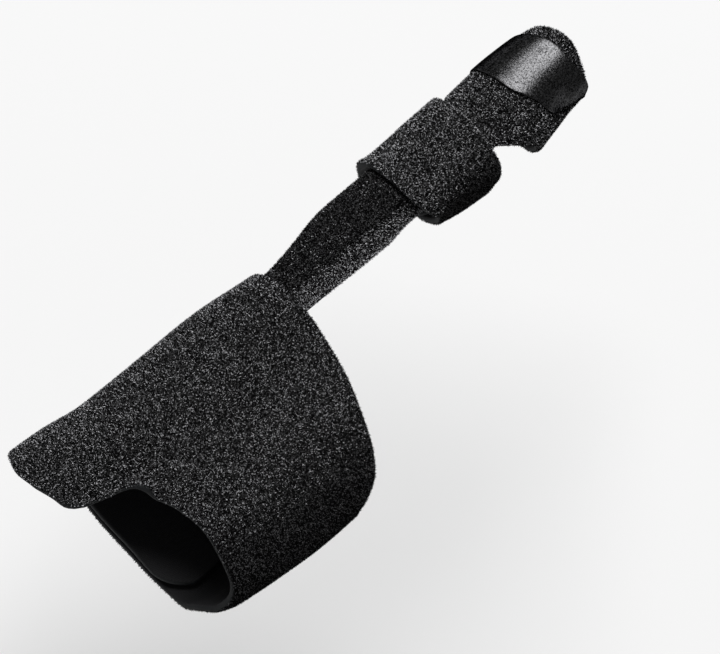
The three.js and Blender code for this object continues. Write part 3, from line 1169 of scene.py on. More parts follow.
@dataclass(frozen=True)
class Pile:
    """Tufts of yarn that stand on a laminate's outer face wherever it is in sight.

    Each tuft draws a number from 0 to 1, to which the cloth's painted light and shade is added.
    Past each of the shares it takes the next paler yarn, so painted light makes tufts paler and
    painted shade darker. lean is the largest lean in degrees, leans the range of shares of it, and
    sizes the range of sizes. per_square counts the tufts on a square millimetre.
    """

    yarns: "tuple[bpy.types.Material, ...]"
    per_square: float = 13.0
    length: float = 0.58
    width: float = 0.21
    lean: float = 62.0
    leans: tuple[float, float] = (0.35, 1)
    sizes: tuple[float, float] = (0.6, 1.2)
    shares: tuple[float, ...] = (0.53, 0.84)
    sides: int = 3
    seed: int = 11

    def spread(self, tree: Tree, low: float, high: float, draw: int) -> Wire:
        """A random number for each tuft, from its draw of this number."""
        values = {"Min": low, "Max": high, "Seed": self.seed + draw}
        return tree.add("FunctionNodeRandomValue", {"data_type": "FLOAT"}, values, "Value")

    def dots(self, tree: Tree, given: Wire) -> Wire:
        """Spreads the tufts' places on the faces of the wanted plot.

        Args:
            tree: The group's tree.
            given: The cloth, from the group's inputs.

        Returns:
            The wire of the places.
        """
        wanted = tree.attribute("pile").same_as(given.sibling("Plot"))
        return tree.add(
            "GeometryNodeDistributePointsOnFaces",
            {"distribute_method": "RANDOM"},
            {"Mesh": given, "Density": wanted * given.sibling("Density"), "Seed": self.seed},
            "Points",
        )

    def tuft(self, tree: Tree, given: Wire) -> Wire:
        """Makes one upright tuft.

        Args:
            tree: The group's tree.
            given: One of the group's inputs.

        Returns:
            The wire of the tuft's mesh.
        """
        return tree.add(
            "GeometryNodeMeshCone",
            {"fill_type": "NGON"},
            {
                "Vertices": self.sides,
                "Side Segments": 1,
                "Radius Top": 0.0,
                "Radius Bottom": given.sibling("Width") * 0.5,
                "Depth": given.sibling("Length"),
            },
            "Mesh",
        )

    def leaning(self, tree: Tree, given: Wire, dots: Wire) -> Wire:
        """Turns each tuft.

        Args:
            tree: The group's tree.
            given: The group's inputs.
            dots: The tufts' places.

        Returns:
            A rotation off the cloth's own upright, by a random lean to a random side.
        """
        lean = given.sibling("Lean") * self.spread(tree, *self.leans, 2)
        turn = self.spread(tree, 0, math.tau, 3)
        angles = tree.add("ShaderNodeCombineXYZ", {}, {"X": lean, "Z": turn})
        rotation = tree.add("FunctionNodeEulerToRotation", {}, {"Euler": angles})
        return tree.add(
            "FunctionNodeRotateRotation",
            {"rotation_space": "LOCAL"},
            {"Rotation": dots.sibling("Rotation"), "Rotate By": rotation},
        )

    def dyed(self, tree: Tree, tufts: Wire, shade: Wire) -> Wire:
        """Gives each tuft its yarn.

        Args:
            tree: The group's tree.
            tufts: The tufts as plain mesh.
            shade: Each tuft's number.

        Returns:
            The tufts with their materials.
        """
        values = {"Geometry": tufts, "Material": self.yarns[0]}
        tufts = tree.add("GeometryNodeSetMaterial", {}, values)
        for yarn, share in zip(self.yarns[1:], self.shares):
            values = {"Geometry": tufts, "Selection": shade > share, "Material": yarn}
            tufts = tree.add("GeometryNodeSetMaterial", {}, values)
        return tufts

    def group(self) -> bpy.types.GeometryNodeTree:
        """Builds the node group that puts the tufts on a cloth."""
        group = bpy.data.node_groups.new("loop_pile", "GeometryNodeTree")
        face = group.interface
        face.new_socket("Cloth", in_out="INPUT", socket_type="NodeSocketGeometry")
        for name in ("Plot", "Density", "Length", "Width", "Lean"):
            face.new_socket(name, in_out="INPUT", socket_type="NodeSocketFloat")
        face.new_socket("Tufts", in_out="OUTPUT", socket_type="NodeSocketGeometry")
        tree = Tree(group)
        given = tree.add("NodeGroupInput", output="Cloth")
        dots = self.dots(tree, given)
        # The cloth's painted light raises each tuft's number towards paler yarn, and its painted shade
        # lowers it.
        shade = self.spread(tree, 0, 1, 1) + tree.attribute("nap")
        kept = group.nodes.new("GeometryNodeCaptureAttribute")
        kept.capture_items.new("FLOAT", "shade")
        group.links.new(dots.socket, kept.inputs["Geometry"])
        group.links.new(shade.socket, kept.inputs["shade"])
        placed = tree.add(
            "GeometryNodeInstanceOnPoints",
            {},
            {
                "Points": Wire(tree, kept.outputs["Geometry"]),
                "Instance": self.tuft(tree, given),
                "Rotation": self.leaning(tree, given, dots),
                "Scale": self.spread(tree, *self.sizes, 4),
            },
        )
        made = tree.add("GeometryNodeRealizeInstances", {}, {"Geometry": placed})
        dyed = self.dyed(tree, made, Wire(tree, kept.outputs["shade"]))
        tree.add_output("NodeGroupOutput", {"Tufts": dyed})
        return group

    def grow(
        self, group: bpy.types.GeometryNodeTree, cloth: bpy.types.Object, plot: int
    ) -> bpy.types.Object:
        """Grows the tufts of one plot of a piece.

        Args:
            group: The node group from group().
            cloth: The laminate that carries the tufts.
            plot: The plot's number.

        Returns:
            The tufts as one plain mesh object at the origin.
        """
        name = f"{cloth.name}_pile_{plot}"
        base = add_object(name + "_base", cloth.data.copy())
        modifier = base.modifiers.new("pile", "NODES")
        modifier.node_group = group
        named = {s.name: s.identifier for s in group.interface.items_tree if s.in_out == "INPUT"}
        modifier[named["Plot"]] = float(plot)
        modifier[named["Density"]] = self.per_square / MM**2
        modifier[named["Length"]] = self.length * MM
        modifier[named["Width"]] = self.width * MM
        modifier[named["Lean"]] = math.radians(self.lean)
        ready = base.evaluated_get(bpy.context.evaluated_depsgraph_get())
        mesh = bpy.data.meshes.new_from_object(ready)
        bpy.data.objects.remove(base)
        mesh.name = name
        return add_object(name, mesh)


@dataclass(frozen=True)
class Dress:
    """The materials of the splint, and how its finished pieces are handed over."""

    outer: bpy.types.Material
    lining: bpy.types.Material
    edge: bpy.types.Material
    satin: bpy.types.Material
    tape: bpy.types.Material
    pile: Pile
    body: str = "root"

    @cached_property
    def pile_group(self) -> bpy.types.GeometryNodeTree:
        """The node group of the tufts."""
        return self.pile.group()

    def piled(self, cloth: bpy.types.Object, plots: int = 1) -> list[bpy.types.Object]:
        """Grows and hands over the pile of a cloth.

        Args:
            cloth: The cloth.
            plots: How many plots its pile has.

        Returns:
            The pile's pieces, one for each plot.
        """
        grown = [self.pile.grow(self.pile_group, cloth, 1 + plot) for plot in range(plots)]
        for piece in grown:
            self.hand_over(piece, "plush")
        return grown

    def hand_over(self, piece: bpy.types.Object, slot: str, node: str | None = None) -> None:
        """Makes a piece ride on the body, and hides the CAD node that it stands for.

        Args:
            piece: The piece.
            slot: Its material slot. It is not used.
            node: The CAD node that it replaces, if it does.
        """
        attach(piece, self.body)
        if node:
            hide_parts(node)
        log.info("%s: %d triangles", piece.name, triangles_of(piece))


@dataclass(frozen=True)
class BackStrip:
    """The stiff strip on the back of the hand and finger, with the wings round the finger's end.

    The pocket's middle lies pocket_shift to the thumb's side. curl lifts the margin beside it where
    the strip is free, which is from the first stretch of free to the second. The pile's tufts are
    painted darker on the pocket as painted shade, paler beside it as painted light with a painted
    highlight line along the edge away from the thumb, and darker on the wing away from the thumb as
    painted shade.
    """

    fit: Fit
    width: float = 19
    thickness: float = 1.9
    wrist_end: float = 58
    corner: float = 5
    pocket_width: float = 11.5
    pocket_shift: float = 2.6
    pocket_rise: float = 1.1
    pocket_end: float = 66
    wing_start: float = 68.5
    wing_overlap: float = 13
    curl: float = 1.0
    margin: float = 4.5
    free: tuple[tuple[float, float], tuple[float, float]] = ((30, 37), (62, 69))
    seam_depth: float = 0.6
    seam_width: float = 0.7
    seam_fade: float = 6
    # Painted shade and painted light on the pile's tufts.
    pocket_painted_shade: float = -0.14
    beside_painted_light: float = 0.22
    foot_fade: float = 1
    edge_highlight_fade: float = 0.9
    wing_painted_shade: float = -0.09
    wing_painted_shade_turns: tuple[float, float] = (0.25, 0.5)
    painted_shading_fade: float = 8
    cell: float = 0.8

    @property
    def half(self) -> float:
        """Half of its width."""
        return self.width / 2

    @property
    def wings_from(self) -> float:
        """Where along the splint the wings start."""
        return self.fit.form.knuckle_forward + self.wing_start

    @property
    def tip(self) -> float:
        """Where along the splint the strip ends."""
        return self.fit.form.knuckle_forward + self.fit.form.finger_length

    @property
    def pocket_foot(self) -> float:
        """Where round the finger the pocket ends on the side away from the thumb."""
        return self.pocket_width / 2 - self.pocket_shift

    @cached_property
    def wing_girth(self) -> float:
        """The girth that the wings' turns are counted on."""
        return float(self.fit.form.finger.girth((self.wings_from + self.tip) / 2))

    @cached_property
    def wing_reach(self) -> float:
        """Half of the wings' length round the finger."""
        return (self.wing_girth + self.wing_overlap) / 2

    def wing_edges(self, around: Array) -> tuple[Array, Array]:
        """Reads the wings' edges.

        Args:
            around: Places round the finger.

        Returns:
            Where along the splint the wings start and end there.
        """
        turn = 2 * around / self.wing_girth
        length = self.tip - self.wings_from
        start = self.wings_from + length * WING_EDGES.read("start", turn)
        return start, self.tip - length * WING_EDGES.read("end", turn)

    def wing_lift(self, along: Array, around: Array) -> Array:
        """Works out how high the wing away from the thumb rides over the other one.

        Args:
            along: Places along the splint.
            around: Places round the hand or finger.

        Returns:
            Heights to add to the wing's own.
        """
        girth = self.fit.form.finger.girth(along)
        lift = self.fit.over_end(around, girth, self.wing_reach, self.thickness)
        return np.where(along < self.wings_from, 0, lift)

    def height(self, along: Array, from_middle: Array) -> Array:
        """Works out the outer face's height, over the pocket and beside it.

        Args:
            along: Places along the splint.
            from_middle: Places from the strip's middle line.

        Returns:
            Heights over the inner face.
        """
        beside = np.abs(from_middle + self.pocket_shift) - self.pocket_width / 2
        pocket_end = self.fit.form.knuckle_forward + self.pocket_end
        runs_out = 1 - smoothstep(along, pocket_end - self.pocket_width, pocket_end)
        edge = (self.width - self.pocket_width) / 4
        rise = self.pocket_rise * runs_out * (1 - smoothstep(beside, -edge / 2, edge))
        return self.thickness + rise

    def free_stretch(self, along: Array) -> Array:
        """1 where the strip lies free between the palm wrap and the finger strap, and else 0."""
        return smoothstep(along, *self.free[0]) * (1 - smoothstep(along, *self.free[1]))

    def nap(self, along: Array, around: Array) -> Array:
        """Paints light and shade on the pile's tufts.

        Args:
            along: Places along the splint.
            around: Places round the hand or finger.

        Returns:
            Numbers over 0 where the tufts are painted paler as painted light, and under 0 where they
            are painted darker as painted shade.
        """
        # Painted light beside the pocket, and a painted highlight line along the edge away from the
        # thumb.
        edge = self.half - self.edge_highlight_fade
        beside = smoothstep(around, self.pocket_foot, self.pocket_foot + self.foot_fade)
        beside = beside + smoothstep(around, edge - self.edge_highlight_fade, edge)
        on_strip = 1 - smoothstep(along, self.wings_from - self.painted_shading_fade, self.wings_from)
        # Painted shade on the wing away from the thumb, where it turns from the light.
        far = smoothstep(2 * around / self.wing_girth, *self.wing_painted_shade_turns)
        on_wing = (1 - on_strip) * self.wing_painted_shade * far
        return on_strip * (self.pocket_painted_shade + self.beside_painted_light * beside) + on_wing

    def surface(self, along: Array, around: Array, face: float) -> Array:
        """Places points of the strip in space.

        Args:
            along: Places along the splint.
            around: Places round the hand or finger.
            face: 0 for its inner face and 1 for its outer face.

        Returns:
            The points.
        """
        free = self.free_stretch(along)
        margin = smoothstep(around, self.half - self.margin, self.half)
        beside = np.abs(around + self.pocket_shift) - self.pocket_width / 2
        groove = np.exp(-(((beside - self.seam_width) / self.seam_width) ** 2))
        seam = self.seam_depth * groove * (1 - smoothstep(np.abs(around), self.half, self.half + 1))
        sewn = 1 - smoothstep(along, self.wings_from - self.seam_fade, self.wings_from)
        outer = self.height(along, around) - seam * sewn
        lift = self.wing_lift(along, around) + face * outer + self.curl * free * margin**2
        return self.fit.settle(self.fit.form.under_strip(along, around, lift))

    def cut(self) -> Cut:
        """The strip and the two wings."""
        rim, half, reach = self.fit.rim, self.half - self.fit.rim, self.wing_reach - self.fit.rim
        columns = np.linspace(-half, half, round(2 * half / self.cell) + 1)
        starts = corner_cut(self.corner, self.half - np.abs(columns)) - self.wrist_end
        starts = starts + cut_back(columns, starts, rim)
        ends = np.full_like(columns, self.wings_from)
        rows = np.linspace(0, 1, round((self.wings_from + self.wrist_end) / self.cell) + 1)
        cut = Cut().add_panel(columns, starts, ends, rows)
        wing = np.linspace(half, reach, round((reach - half) / self.cell) + 1)
        columns = np.concatenate([-wing[:0:-1], columns, wing[1:]])
        corner = corner_cut(self.corner, self.wing_reach - np.abs(columns))
        start, end = self.wing_edges(columns)
        start, end = start + corner, end - corner
        starts = start + cut_back(columns, start, rim)
        starts = np.where(np.abs(columns) > half + self.cell / 2, starts, self.wings_from)
        rows = np.linspace(0, 1, round((self.tip - self.wings_from) / self.cell) + 1)
        return cut.add_panel(columns, starts, end - cut_back(columns, end, rim), rows)


@dataclass(frozen=True)
class Flare:
    """A stretch of a band's edge towards the wrist that stands off what lies under it.

    depth is how far from the edge the band starts to rise, and level_share how much of the stretch
    stands at its full height.
    """

    first_turn: float
    last_turn: float
    height: float
    depth: float
    level_share: float = 0.35

    def window(self, turn: Array) -> Array:
        """Weighs places by the stretch.

        Args:
            turn: Places round the band, as shares of half its girth.

        Returns:
            1 in the middle of the stretch, and 0 at its ends.
        """
        half = (self.last_turn - self.first_turn) / 2
        middle = (self.last_turn + self.first_turn) / 2
        return 1 - smoothstep(np.abs(turn - middle), self.level_share * half, half)

    def lift(self, turn: Array, from_edge: Array) -> Array:
        """How much it lifts the band."""
        return self.height * self.window(turn) * np.clip(1 - from_edge / self.depth, 0, 1) ** 2

    def slope(self, turn: Array, from_edge: Array) -> Array:
        """How steeply the band rises towards its edge there."""
        rise = 2 * self.height / self.depth * self.window(turn)
        return rise * np.clip(1 - from_edge / self.depth, 0, 1)


@dataclass(frozen=True)
class Band(ABC):
    """A band of cloth round the palm or the finger, over the strip.

    drape is the width over which it comes down beside the strip. The pile's tufts are painted: paler on
    the back as painted light where that value is over 0, and darker on the side away from the thumb,
    which turns from the light, as painted shade past the given turns.
    """

    fit: Fit
    strip: BackStrip
    name: str
    tab_name: str
    thickness: float
    overlap: float
    corner: float
    drape: float
    cell: float
    flares: tuple[Flare, ...]
    pile_plots: int
    # Painted light on the back, and painted shade on the side away from the thumb.
    nap: float
    far_painted_shade: float
    painted_shade_turns: tuple[float, float] = (0.12, 0.5)

    @property
    @abstractmethod
    def hollow(self) -> Hollow:
        """What the band lies on."""

    @property
    @abstractmethod
    def middle(self) -> float:
        """Where round the band the strip's middle lies."""

    @property
    @abstractmethod
    def level(self) -> float:
        """Where along the splint its girth is taken."""

    @abstractmethod
    def place(self, along: Array, around: Array, lift: Array) -> Array:
        """Points on what the band lies on, lifted off it."""

    @abstractmethod
    def edges(self, around: Array) -> tuple[Array, Array]:
        """Where along the splint the band starts and ends."""

    @cached_property
    def girth(self) -> float:
        """The length round what the band lies on."""
        return float(self.hollow.girth(self.level))

    @cached_property
    def reach(self) -> float:
        """Half of the band's length."""
        return (self.girth + self.overlap) / 2

    def lift(self, along: Array, around: Array, face: float) -> Array:
        """Works out how high a face of the band lies.

        Args:
            along: Places along the splint.
            around: Places round the hand or finger.
            face: 0 for the inner face and 1 for the outer face.

        Returns:
            Heights off what the band lies on.
        """
        from_middle = around - self.middle
        half = self.strip.half
        covered = 1 - smoothstep(np.abs(from_middle) - half, 0, self.drape)
        nearest = np.clip(from_middle, -half, half)
        if face:
            body = self.strip.thickness + self.strip.pocket_rise / 2
            height = self.thickness + self.fit.gap + body * covered
        else:
            height = self.fit.gap + self.strip.height(along, nearest) * covered
        girth = self.hollow.girth(along)
        height = height + self.fit.over_end(around, girth, self.reach, self.thickness)
        turn = 2 * around / self.girth
        from_edge = along - self.edges(around)[0]
        return height + sum(flare.lift(turn, from_edge) for flare in self.flares)

    def surface(self, along: Array, around: Array, face: float) -> Array:
        """Places points of the band in space. Where it stands up, its wall is tilted with it.

        Args:
            along: Places along the splint.
            around: Places round the hand or finger.
            face: 0 for the inner face and 1 for the outer face.

        Returns:
            The points.
        """
        turn = 2 * around / self.girth
        from_edge = along - self.edges(around)[0]
        tilt = np.arctan(sum(flare.slope(turn, from_edge) for flare in self.flares))
        wall = face * self.thickness
        lift = self.lift(along, around, face) - wall * (1 - np.cos(tilt))
        return self.fit.settle(self.place(along + wall * np.sin(tilt), around, lift))

    def plots(self, along: Array, around: Array) -> Array:
        """Numbers the pile's plots, one after another round the band.

        Args:
            along: Places along the splint.
            around: Places round the hand or finger.

        Returns:
            The plot at each place, or 0 under the band's other end.
        """
        shown = around > self.reach - self.hollow.girth(along) - self.fit.gap
        share = 1 + (around - self.reach) / self.girth
        plot = 1 + np.clip(np.floor(share * self.pile_plots), 0, self.pile_plots - 1)
        return np.where(shown, plot, 0.0)

    def painted_shading_at(self, along: Array, around: Array) -> Array:
        """Painted light and shade on the pile, from the back to the side away from the thumb."""
        far = smoothstep(2 * around / self.girth, *self.painted_shade_turns)
        return self.nap + (self.far_painted_shade - self.nap) * far

    def covers(self, along: Array, around: Array) -> Array:
        """Says where the band hides what lies under it, just inside its edges.

        Args:
            along: Places along the splint.
            around: Places round the hand or finger.

        Returns:
            True where it does.
        """
        start, end = self.edges(around)
        inside = 2 * self.fit.gap
        return (along > start + inside) & (along < end - inside) & (np.abs(around) < self.reach)

    def cut(self) -> Cut:
        """The band's one panel."""
        reach, rim = self.reach - self.fit.rim, self.fit.rim
        columns = np.linspace(-reach, reach, round(2 * reach / self.cell) + 1)
        starts, ends = self.edges(columns)
        rows = edge_rows(round((ends - starts).max() / self.cell))
        starts = starts + cut_back(columns, starts, rim)
        return Cut().add_panel(columns, starts, ends - cut_back(columns, ends, rim), rows)

    def build(self, dress: Dress) -> None:
        """Makes the band, its pile and its hook tab.

        Args:
            dress: The materials and how pieces are handed over.
        """
        name = self.name + "_cloth"
        laminate = Laminate(name, self.cut(), self.surface, self.plots, self.painted_shading_at)
        piece = laminate.build([dress.outer, dress.lining, dress.edge])
        dress.hand_over(piece, "plush", self.name)
        tab = HookTab(
            self.tab_name,
            self.fit,
            self.place,
            self.hollow.girth,
            self.edges,
            self.reach,
            self.overlap,
            self.fit.gap + self.thickness,
        )
        pieces = dress.piled(piece, self.pile_plots) + [tab.build(dress)]
        laminate.declare(self.level)


@dataclass(frozen=True)
class HandWrap(Band):
    """The wide wrap round the palm, with the tongue over the wrist."""

    name: str = "hand_wrap"
    tab_name: str = "wrap_hook_tab"
    thickness: float = 2.2
    overlap: float = 36
    corner: float = 9
    drape: float = 9
    cell: float = 1.15
    flares: tuple[Flare, ...] = (Flare(first_turn=-0.18, last_turn=0.01, height=4.6, depth=6),)
    pile_plots: int = 5
    # No painted light on the wrap's back, and painted shade on its side away from the thumb, which
    # turns from the light.
    nap: float = 0.0
    far_painted_shade: float = -0.26
    tongue_reach: float = 65
    finger_reach: float = 28.5

    @property
    def hollow(self) -> Hollow:
        """The palm's hollow."""
        return self.fit.form.palm

    @property
    def middle(self) -> float:
        """Where round the palm the strip's middle lies."""
        return self.fit.form.strip_middle

    @property
    def level(self) -> float:
        """The origin's place."""
        return 0.0

    def place(self, along: Array, around: Array, lift: Array) -> Array:
        """Points on the palm."""
        return self.fit.form.on_palm(along, around, lift)

    def edges(self, around: Array) -> tuple[Array, Array]:
        """Reads the wrap's edges.

        Args:
            around: Places round the hand.

        Returns:
            The wrist edge and the finger edge there.
        """
        turn = 2 * around / self.girth
        corner = corner_cut(self.corner, self.reach - np.abs(around))
        wrist = self.tongue_reach * WRAP_WRIST_EDGE.read("wrist", turn)
        return corner - wrist, self.finger_reach * WRAP_FINGER_EDGE.read("finger", turn) - corner


@dataclass(frozen=True)
class FingerStrap(Band):
    """The strap round the root of the finger."""

    name: str = "finger_strap"
    tab_name: str = "strap_hook_tab"
    thickness: float = 2.2
    overlap: float = 15
    corner: float = 5
    drape: float = 6
    cell: float = 0.9
    flares: tuple[Flare, ...] = (
        Flare(first_turn=-0.85, last_turn=-0.05, height=1.2, depth=5),
        Flare(first_turn=0.1, last_turn=0.5, height=0.5, depth=4),
    )
    pile_plots: int = 1
    # Painted light on the strap's back, and painted shade on its side away from the thumb.
    nap: float = 0.05
    far_painted_shade: float = -0.22
    start: float = 36
    width: float = 31

    @property
    def hollow(self) -> Hollow:
        """The finger's hollow."""
        return self.fit.form.finger

    @property
    def middle(self) -> float:
        """The strip's middle is the middle of the finger's back."""
        return 0.0

    @property
    def first(self) -> float:
        """Where along the splint it starts."""
        return self.fit.form.knuckle_forward + self.start

    @property
    def level(self) -> float:
        """The middle of its width."""
        return self.first + self.width / 2

    def place(self, along: Array, around: Array, lift: Array) -> Array:
        """Points on the finger."""
        return self.fit.form.on_finger(along, around, lift)

    def edges(self, around: Array) -> tuple[Array, Array]:
        """Reads the strap's edges.

        Args:
            around: Places round the finger.

        Returns:
            The edge towards the hand and the edge towards the fingertip there.
        """
        turn = 2 * around / self.girth
        corner = corner_cut(self.corner, self.reach - np.abs(around))
        start = self.first + self.width * STRAP_EDGES.read("start", turn)
        return start + corner, self.first + self.width * STRAP_EDGES.read("end", turn) - corner


@dataclass(frozen=True)
class TipPatch:
    """The smooth patch over the finger's end.

    hidden_from is how far inside its edges it hides the pile below it.
    """

    strip: BackStrip
    thickness: float = 0.6
    thumb_reach: float = 21
    palm_reach: float = 13
    bulge: float = 0.2
    rings: int = 3
    hidden_from: float = 0.4
    cell: float = 0.7

    def edges(self, around: Array) -> tuple[Array, Array]:
        """Reads the patch's edges.

        Args:
            around: Places round the finger.

        Returns:
            Where along the splint the patch starts and ends there.
        """
        turn = 2 * around / self.strip.wing_girth
        length = self.strip.tip - self.strip.wings_from
        start = self.strip.tip - length * PATCH_EDGES.read("start", turn)
        return start, self.strip.tip - length * PATCH_EDGES.read("end", turn)

    def surface(self, along: Array, around: Array, face: float) -> Array:
        """Places points of the patch in space.

        Args:
            along: Places along the splint.
            around: Places round the hand or finger.
            face: 0 for its inner face and 1 for its outer face.

        Returns:
            The points.
        """
        fit = self.strip.fit
        lift = self.strip.wing_lift(along, around) + self.strip.thickness + fit.gap
        points = fit.form.on_finger(along, around, lift + face * self.thickness)
        return fit.settle(points)

    def covers(self, along: Array, around: Array) -> Array:
        """Says where the patch hides the wings, just inside its edges.

        Args:
            along: Places along the splint.
            around: Places round the hand or finger.

        Returns:
            True where it does.
        """
        start, end = self.edges(around)
        inside = self.hidden_from
        across = (around > inside - self.thumb_reach) & (around < self.palm_reach - inside)
        return across & (along > start + inside) & (along < end - inside)

    def build(self, dress: Dress) -> None:
        """Makes the patch.

        Args:
            dress: The materials and how pieces are handed over.
        """
        width = self.thumb_reach + self.palm_reach
        columns = np.linspace(-self.thumb_reach, self.palm_reach, round(width / self.cell) + 1)
        starts, ends = self.edges(columns)
        rows = np.linspace(0, 1, round((ends - starts).max() / self.cell) + 1)
        cut = Cut().add_panel(columns, starts, ends, rows)
        rim = {"bulge": self.bulge, "rings": self.rings}
        laminate = Laminate("tip_patch_tape", cut, self.surface, nowhere, nowhere, **rim)
        piece = laminate.build([dress.satin, dress.lining, dress.satin])
        dress.hand_over(piece, "satin", "tip_patch")
        laminate.declare(float((starts + ends).mean() / 2))


@dataclass(frozen=True)
class HookTab:
    """The hook tape between the two ends of a band.

    place and girth_at are those of what the band lies on, and edges, reach and overlap the band's
    own. base is how high the top of its inner end lies. inset is how far the tape stays inside the
    overlap.
    """

    name: str
    fit: Fit
    place: Callable[[Array, Array, Array], Array]
    girth_at: Callable[[Array], Array]
    edges: Callable[[Array], tuple[Array, Array]]
    reach: float
    overlap: float
    base: float
    inset: float = 2.5
    bulge: float = 0.2
    rings: int = 3
    cell: float = 1.5

    def surface(self, along: Array, around: Array, face: float) -> Array:
        """Places points of the tab in space.

        Args:
            along: Places along the splint.
            around: Places round the band, from the middle of its hidden side.
            face: 0 for its inner face and 1 for its outer face.

        Returns:
            The points.
        """
        lift = np.full_like(along, self.base + self.fit.gap + face * self.fit.hook)
        return self.fit.settle(self.place(along, self.girth_at(along) / 2 + around, lift))

    def build(self, dress: Dress) -> bpy.types.Object:
        """Makes the tab.

        Args:
            dress: The materials and how pieces are handed over.

        Returns:
            The tab.
        """
        half = self.overlap / 2 - self.inset
        middle = self.reach - self.overlap / 2
        ends = np.array([side * half for side in (-1, 0, 1)])
        outer, inner = self.edges(middle + ends), self.edges(-middle - ends)
        start = max(outer[0].max(), inner[0].max()) + self.inset
        end = min(outer[1].min(), inner[1].min()) - self.inset
        columns = np.linspace(-half, half, round(2 * half / self.cell) + 1)
        rows = np.linspace(0, 1, round((end - start) / self.cell) + 1)
        starts = np.full_like(columns, start)
        cut = Cut().add_panel(columns, starts, np.full_like(columns, end), rows)
        rim = {"bulge": self.bulge, "rings": self.rings}
        laminate = Laminate(self.name + "_tape", cut, self.surface, nowhere, nowhere, **rim)
        piece = laminate.build([dress.tape, dress.tape, dress.tape])
        dress.hand_over(piece, "hook_tape", self.name)
        return piece


@dataclass(frozen=True)
class Splint:
    """The whole splint."""

    dress: Dress
    fit: Fit = field(default_factory=lambda: Fit(HandForm()))

    def build(self) -> None:
        """Makes every piece, from the strip outwards."""
        strip = BackStrip(self.fit)
        wrap = HandWrap(self.fit, strip)
        strap = FingerStrap(self.fit, strip)
        patch = TipPatch(strip)
        self.build_strip(strip, wrap, strap, patch)
        wrap.build(self.dress)
        strap.build(self.dress)
        patch.build(self.dress)

    def build_strip(
        self, strip: BackStrip, wrap: HandWrap, strap: FingerStrap, patch: TipPatch
    ) -> None:
        """Makes the strip with pile only where no other piece hides it.

        Args:
            strip: The strip.
            wrap: The wrap that hides its wrist end.
            strap: The strap that hides its middle.
            patch: The patch that hides part of the wings.
        """

        def plots(along: Array, around: Array) -> Array:
            """Leaves pile only where the strip's outer face is in sight.

            Args:
                along: Places along the splint.
                around: Places round the hand or finger.

            Returns:
                1 where there is pile, and else 0.
            """
            on_finger = along > strip.fit.form.knuckle_forward
            under_wrap = wrap.covers(along, strip.fit.form.strip_middle + around) & ~on_finger
            under_strap = strap.covers(along, around) & on_finger
            under_wing = (along > strip.wings_from) & (
                around < strip.wing_reach - strip.fit.form.finger.girth(along) - strip.fit.gap
            )
            hidden = under_wrap | under_strap | under_wing | patch.covers(along, around)
            return np.where(hidden, 0.0, 1.0)

        laminate = Laminate("back_strip_cloth", strip.cut(), strip.surface, plots, strip.nap)
        piece = laminate.build([self.dress.outer, self.dress.lining, self.dress.edge])
        self.dress.hand_over(piece, "plush", "back_strip")
        tab = HookTab(
            "wing_hook_tab",
            self.fit,
            self.fit.form.on_finger,
            self.fit.form.finger.girth,
            strip.wing_edges,
            strip.wing_reach,
            strip.wing_overlap,
            strip.thickness,
        )
        pieces = self.dress.piled(piece) + [tab.build(self.dress)]
        laminate.declare((strip.wings_from + strip.tip) / 2)


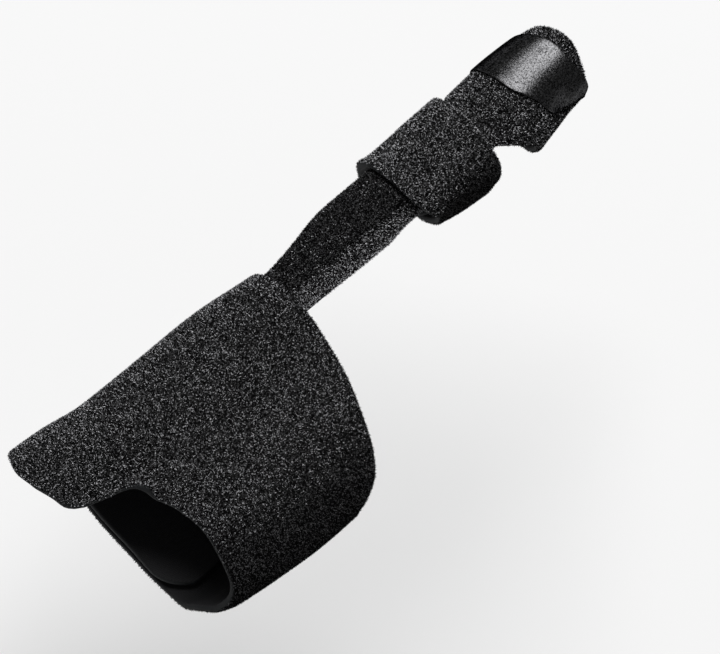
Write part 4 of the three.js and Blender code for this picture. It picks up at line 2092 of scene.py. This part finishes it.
@dataclass(frozen=True)
class Studio:
    """The camera, the lights and the floor.

    The camera's three angles are in degrees. origin_pixel is where the picture shows the origin. The
    lamp is a square that faces aim.
    """

    turn: float = 17.0
    tip: float = 11.0
    roll: float = 37.0
    pixels_per_mm: float = 3.6
    origin_pixel: tuple[float, float] = (259, 433)
    picture: tuple[float, float] = (720, 654)
    distance: float = 4000
    sensor: float = 36
    floor_drop: float = 150
    floor_size: float = 4000
    lamp_place: tuple[float, float, float] = (2100, 1800, 5300)
    lamp_size: float = 4200
    lamp_power: float = 470
    aim: tuple[float, float, float] = (40, 0, 0)
    sky: float = 0.16

    @cached_property
    def axes(self) -> Array:
        """Rows: the picture's right, its up, and the way from the splint to the camera."""
        t, s, r = (math.radians(a) for a in (self.turn, self.tip, self.roll))
        ahead = np.array([math.cos(t), -math.sin(t) * math.sin(s), math.sin(t) * math.cos(s)])
        across = np.array([0.0, -math.cos(s), -math.sin(s)])
        right = math.cos(r) * ahead + math.sin(r) * across
        up = math.sin(r) * ahead - math.cos(r) * across
        return np.stack([right, up, np.cross(right, up)])

    def add_camera(self) -> None:
        """Puts the camera at the photo's angle and scale."""
        right, up, back = self.axes
        from_origin = (
            (self.picture[0] / 2 - self.origin_pixel[0]) / self.pixels_per_mm,
            (self.origin_pixel[1] - self.picture[1] / 2) / self.pixels_per_mm,
        )
        place = right * from_origin[0] + up * from_origin[1] + back * self.distance
        data = bpy.data.cameras.new("camera")
        data.sensor_width = self.sensor
        data.lens = self.pixels_per_mm * self.distance * self.sensor / self.picture[0]
        camera = bpy.data.objects.new("camera", data)
        turned = Matrix(self.axes.T.tolist()).to_4x4()
        camera.matrix_world = Matrix.Translation(Vector((place * MM).tolist())) @ turned
        bpy.context.scene.collection.objects.link(camera)
        bpy.context.scene.camera = camera

    def add_lamp(self) -> None:
        """Adds the soft lamp."""
        data = bpy.data.lights.new("overhead", "AREA")
        data.size = self.lamp_size * MM
        data.energy = self.lamp_power
        lamp = bpy.data.objects.new("overhead", data)
        spot = Vector(self.lamp_place) * MM
        aim = Vector(self.aim) * MM
        lamp.location = spot
        lamp.rotation_mode = "QUATERNION"
        lamp.rotation_quaternion = (aim - spot).to_track_quat("-Z", "Y")
        bpy.context.scene.collection.objects.link(lamp)

    def add_floor(self) -> None:
        """Adds the plain floor below the splint."""
        half = self.floor_size / 2
        corners = [(x, y, -self.floor_drop) for x, y in ((-1, -1), (1, -1), (1, 1), (-1, 1))]
        points = [(x * half * MM, y * half * MM, z * MM) for x, y, z in corners]
        mesh = bpy.data.meshes.new("floor")
        mesh.from_pydata(points, [], [(0, 1, 2, 3)])
        mesh.materials.append(StudioFloor().material())
        add_object("floor", mesh)

    def add_world(self) -> None:
        """Lights the scene evenly from all round."""
        world = bpy.data.worlds.new("studio")
        world.use_nodes = True
        world.node_tree.nodes["Background"].inputs["Color"].default_value = (1, 1, 1, 1)
        world.node_tree.nodes["Background"].inputs["Strength"].default_value = self.sky
        bpy.context.scene.world = world

    def build(self) -> None:
        """Sets the whole studio up."""
        self.add_camera()
        self.add_lamp()
        self.add_floor()
        self.add_world()
        bpy.context.scene.view_settings.view_transform = "Standard"


def main() -> None:
    """Builds the splint and the studio."""
    logging.basicConfig(level=logging.INFO, format="%(name)s %(message)s")
    yarns = (
        Yarn("yarn_dark", shade=0.0015, roughness=0.7, gloss=0.02),
        # The grey and pale yarns are lit copies of the black yarn: painted sheen and painted glints of
        # fibres catching the light.
        Yarn("yarn_grey_painted_sheen", shade=0.075, roughness=0.6, gloss=0.15),
        Yarn("yarn_pale_painted_glint", shade=0.62, roughness=0.5, gloss=0.3),
    )
    dress = Dress(
        outer=LoopPlush().material(),
        lining=Lining().material(),
        edge=FoamEdge().material(),
        satin=Satin().material(),
        tape=HookTape().material(),
        pile=Pile(tuple(yarn.material() for yarn in yarns)),
    )
    Splint(dress).build()
    Studio().build()


if __name__ == "__main__":
    main()
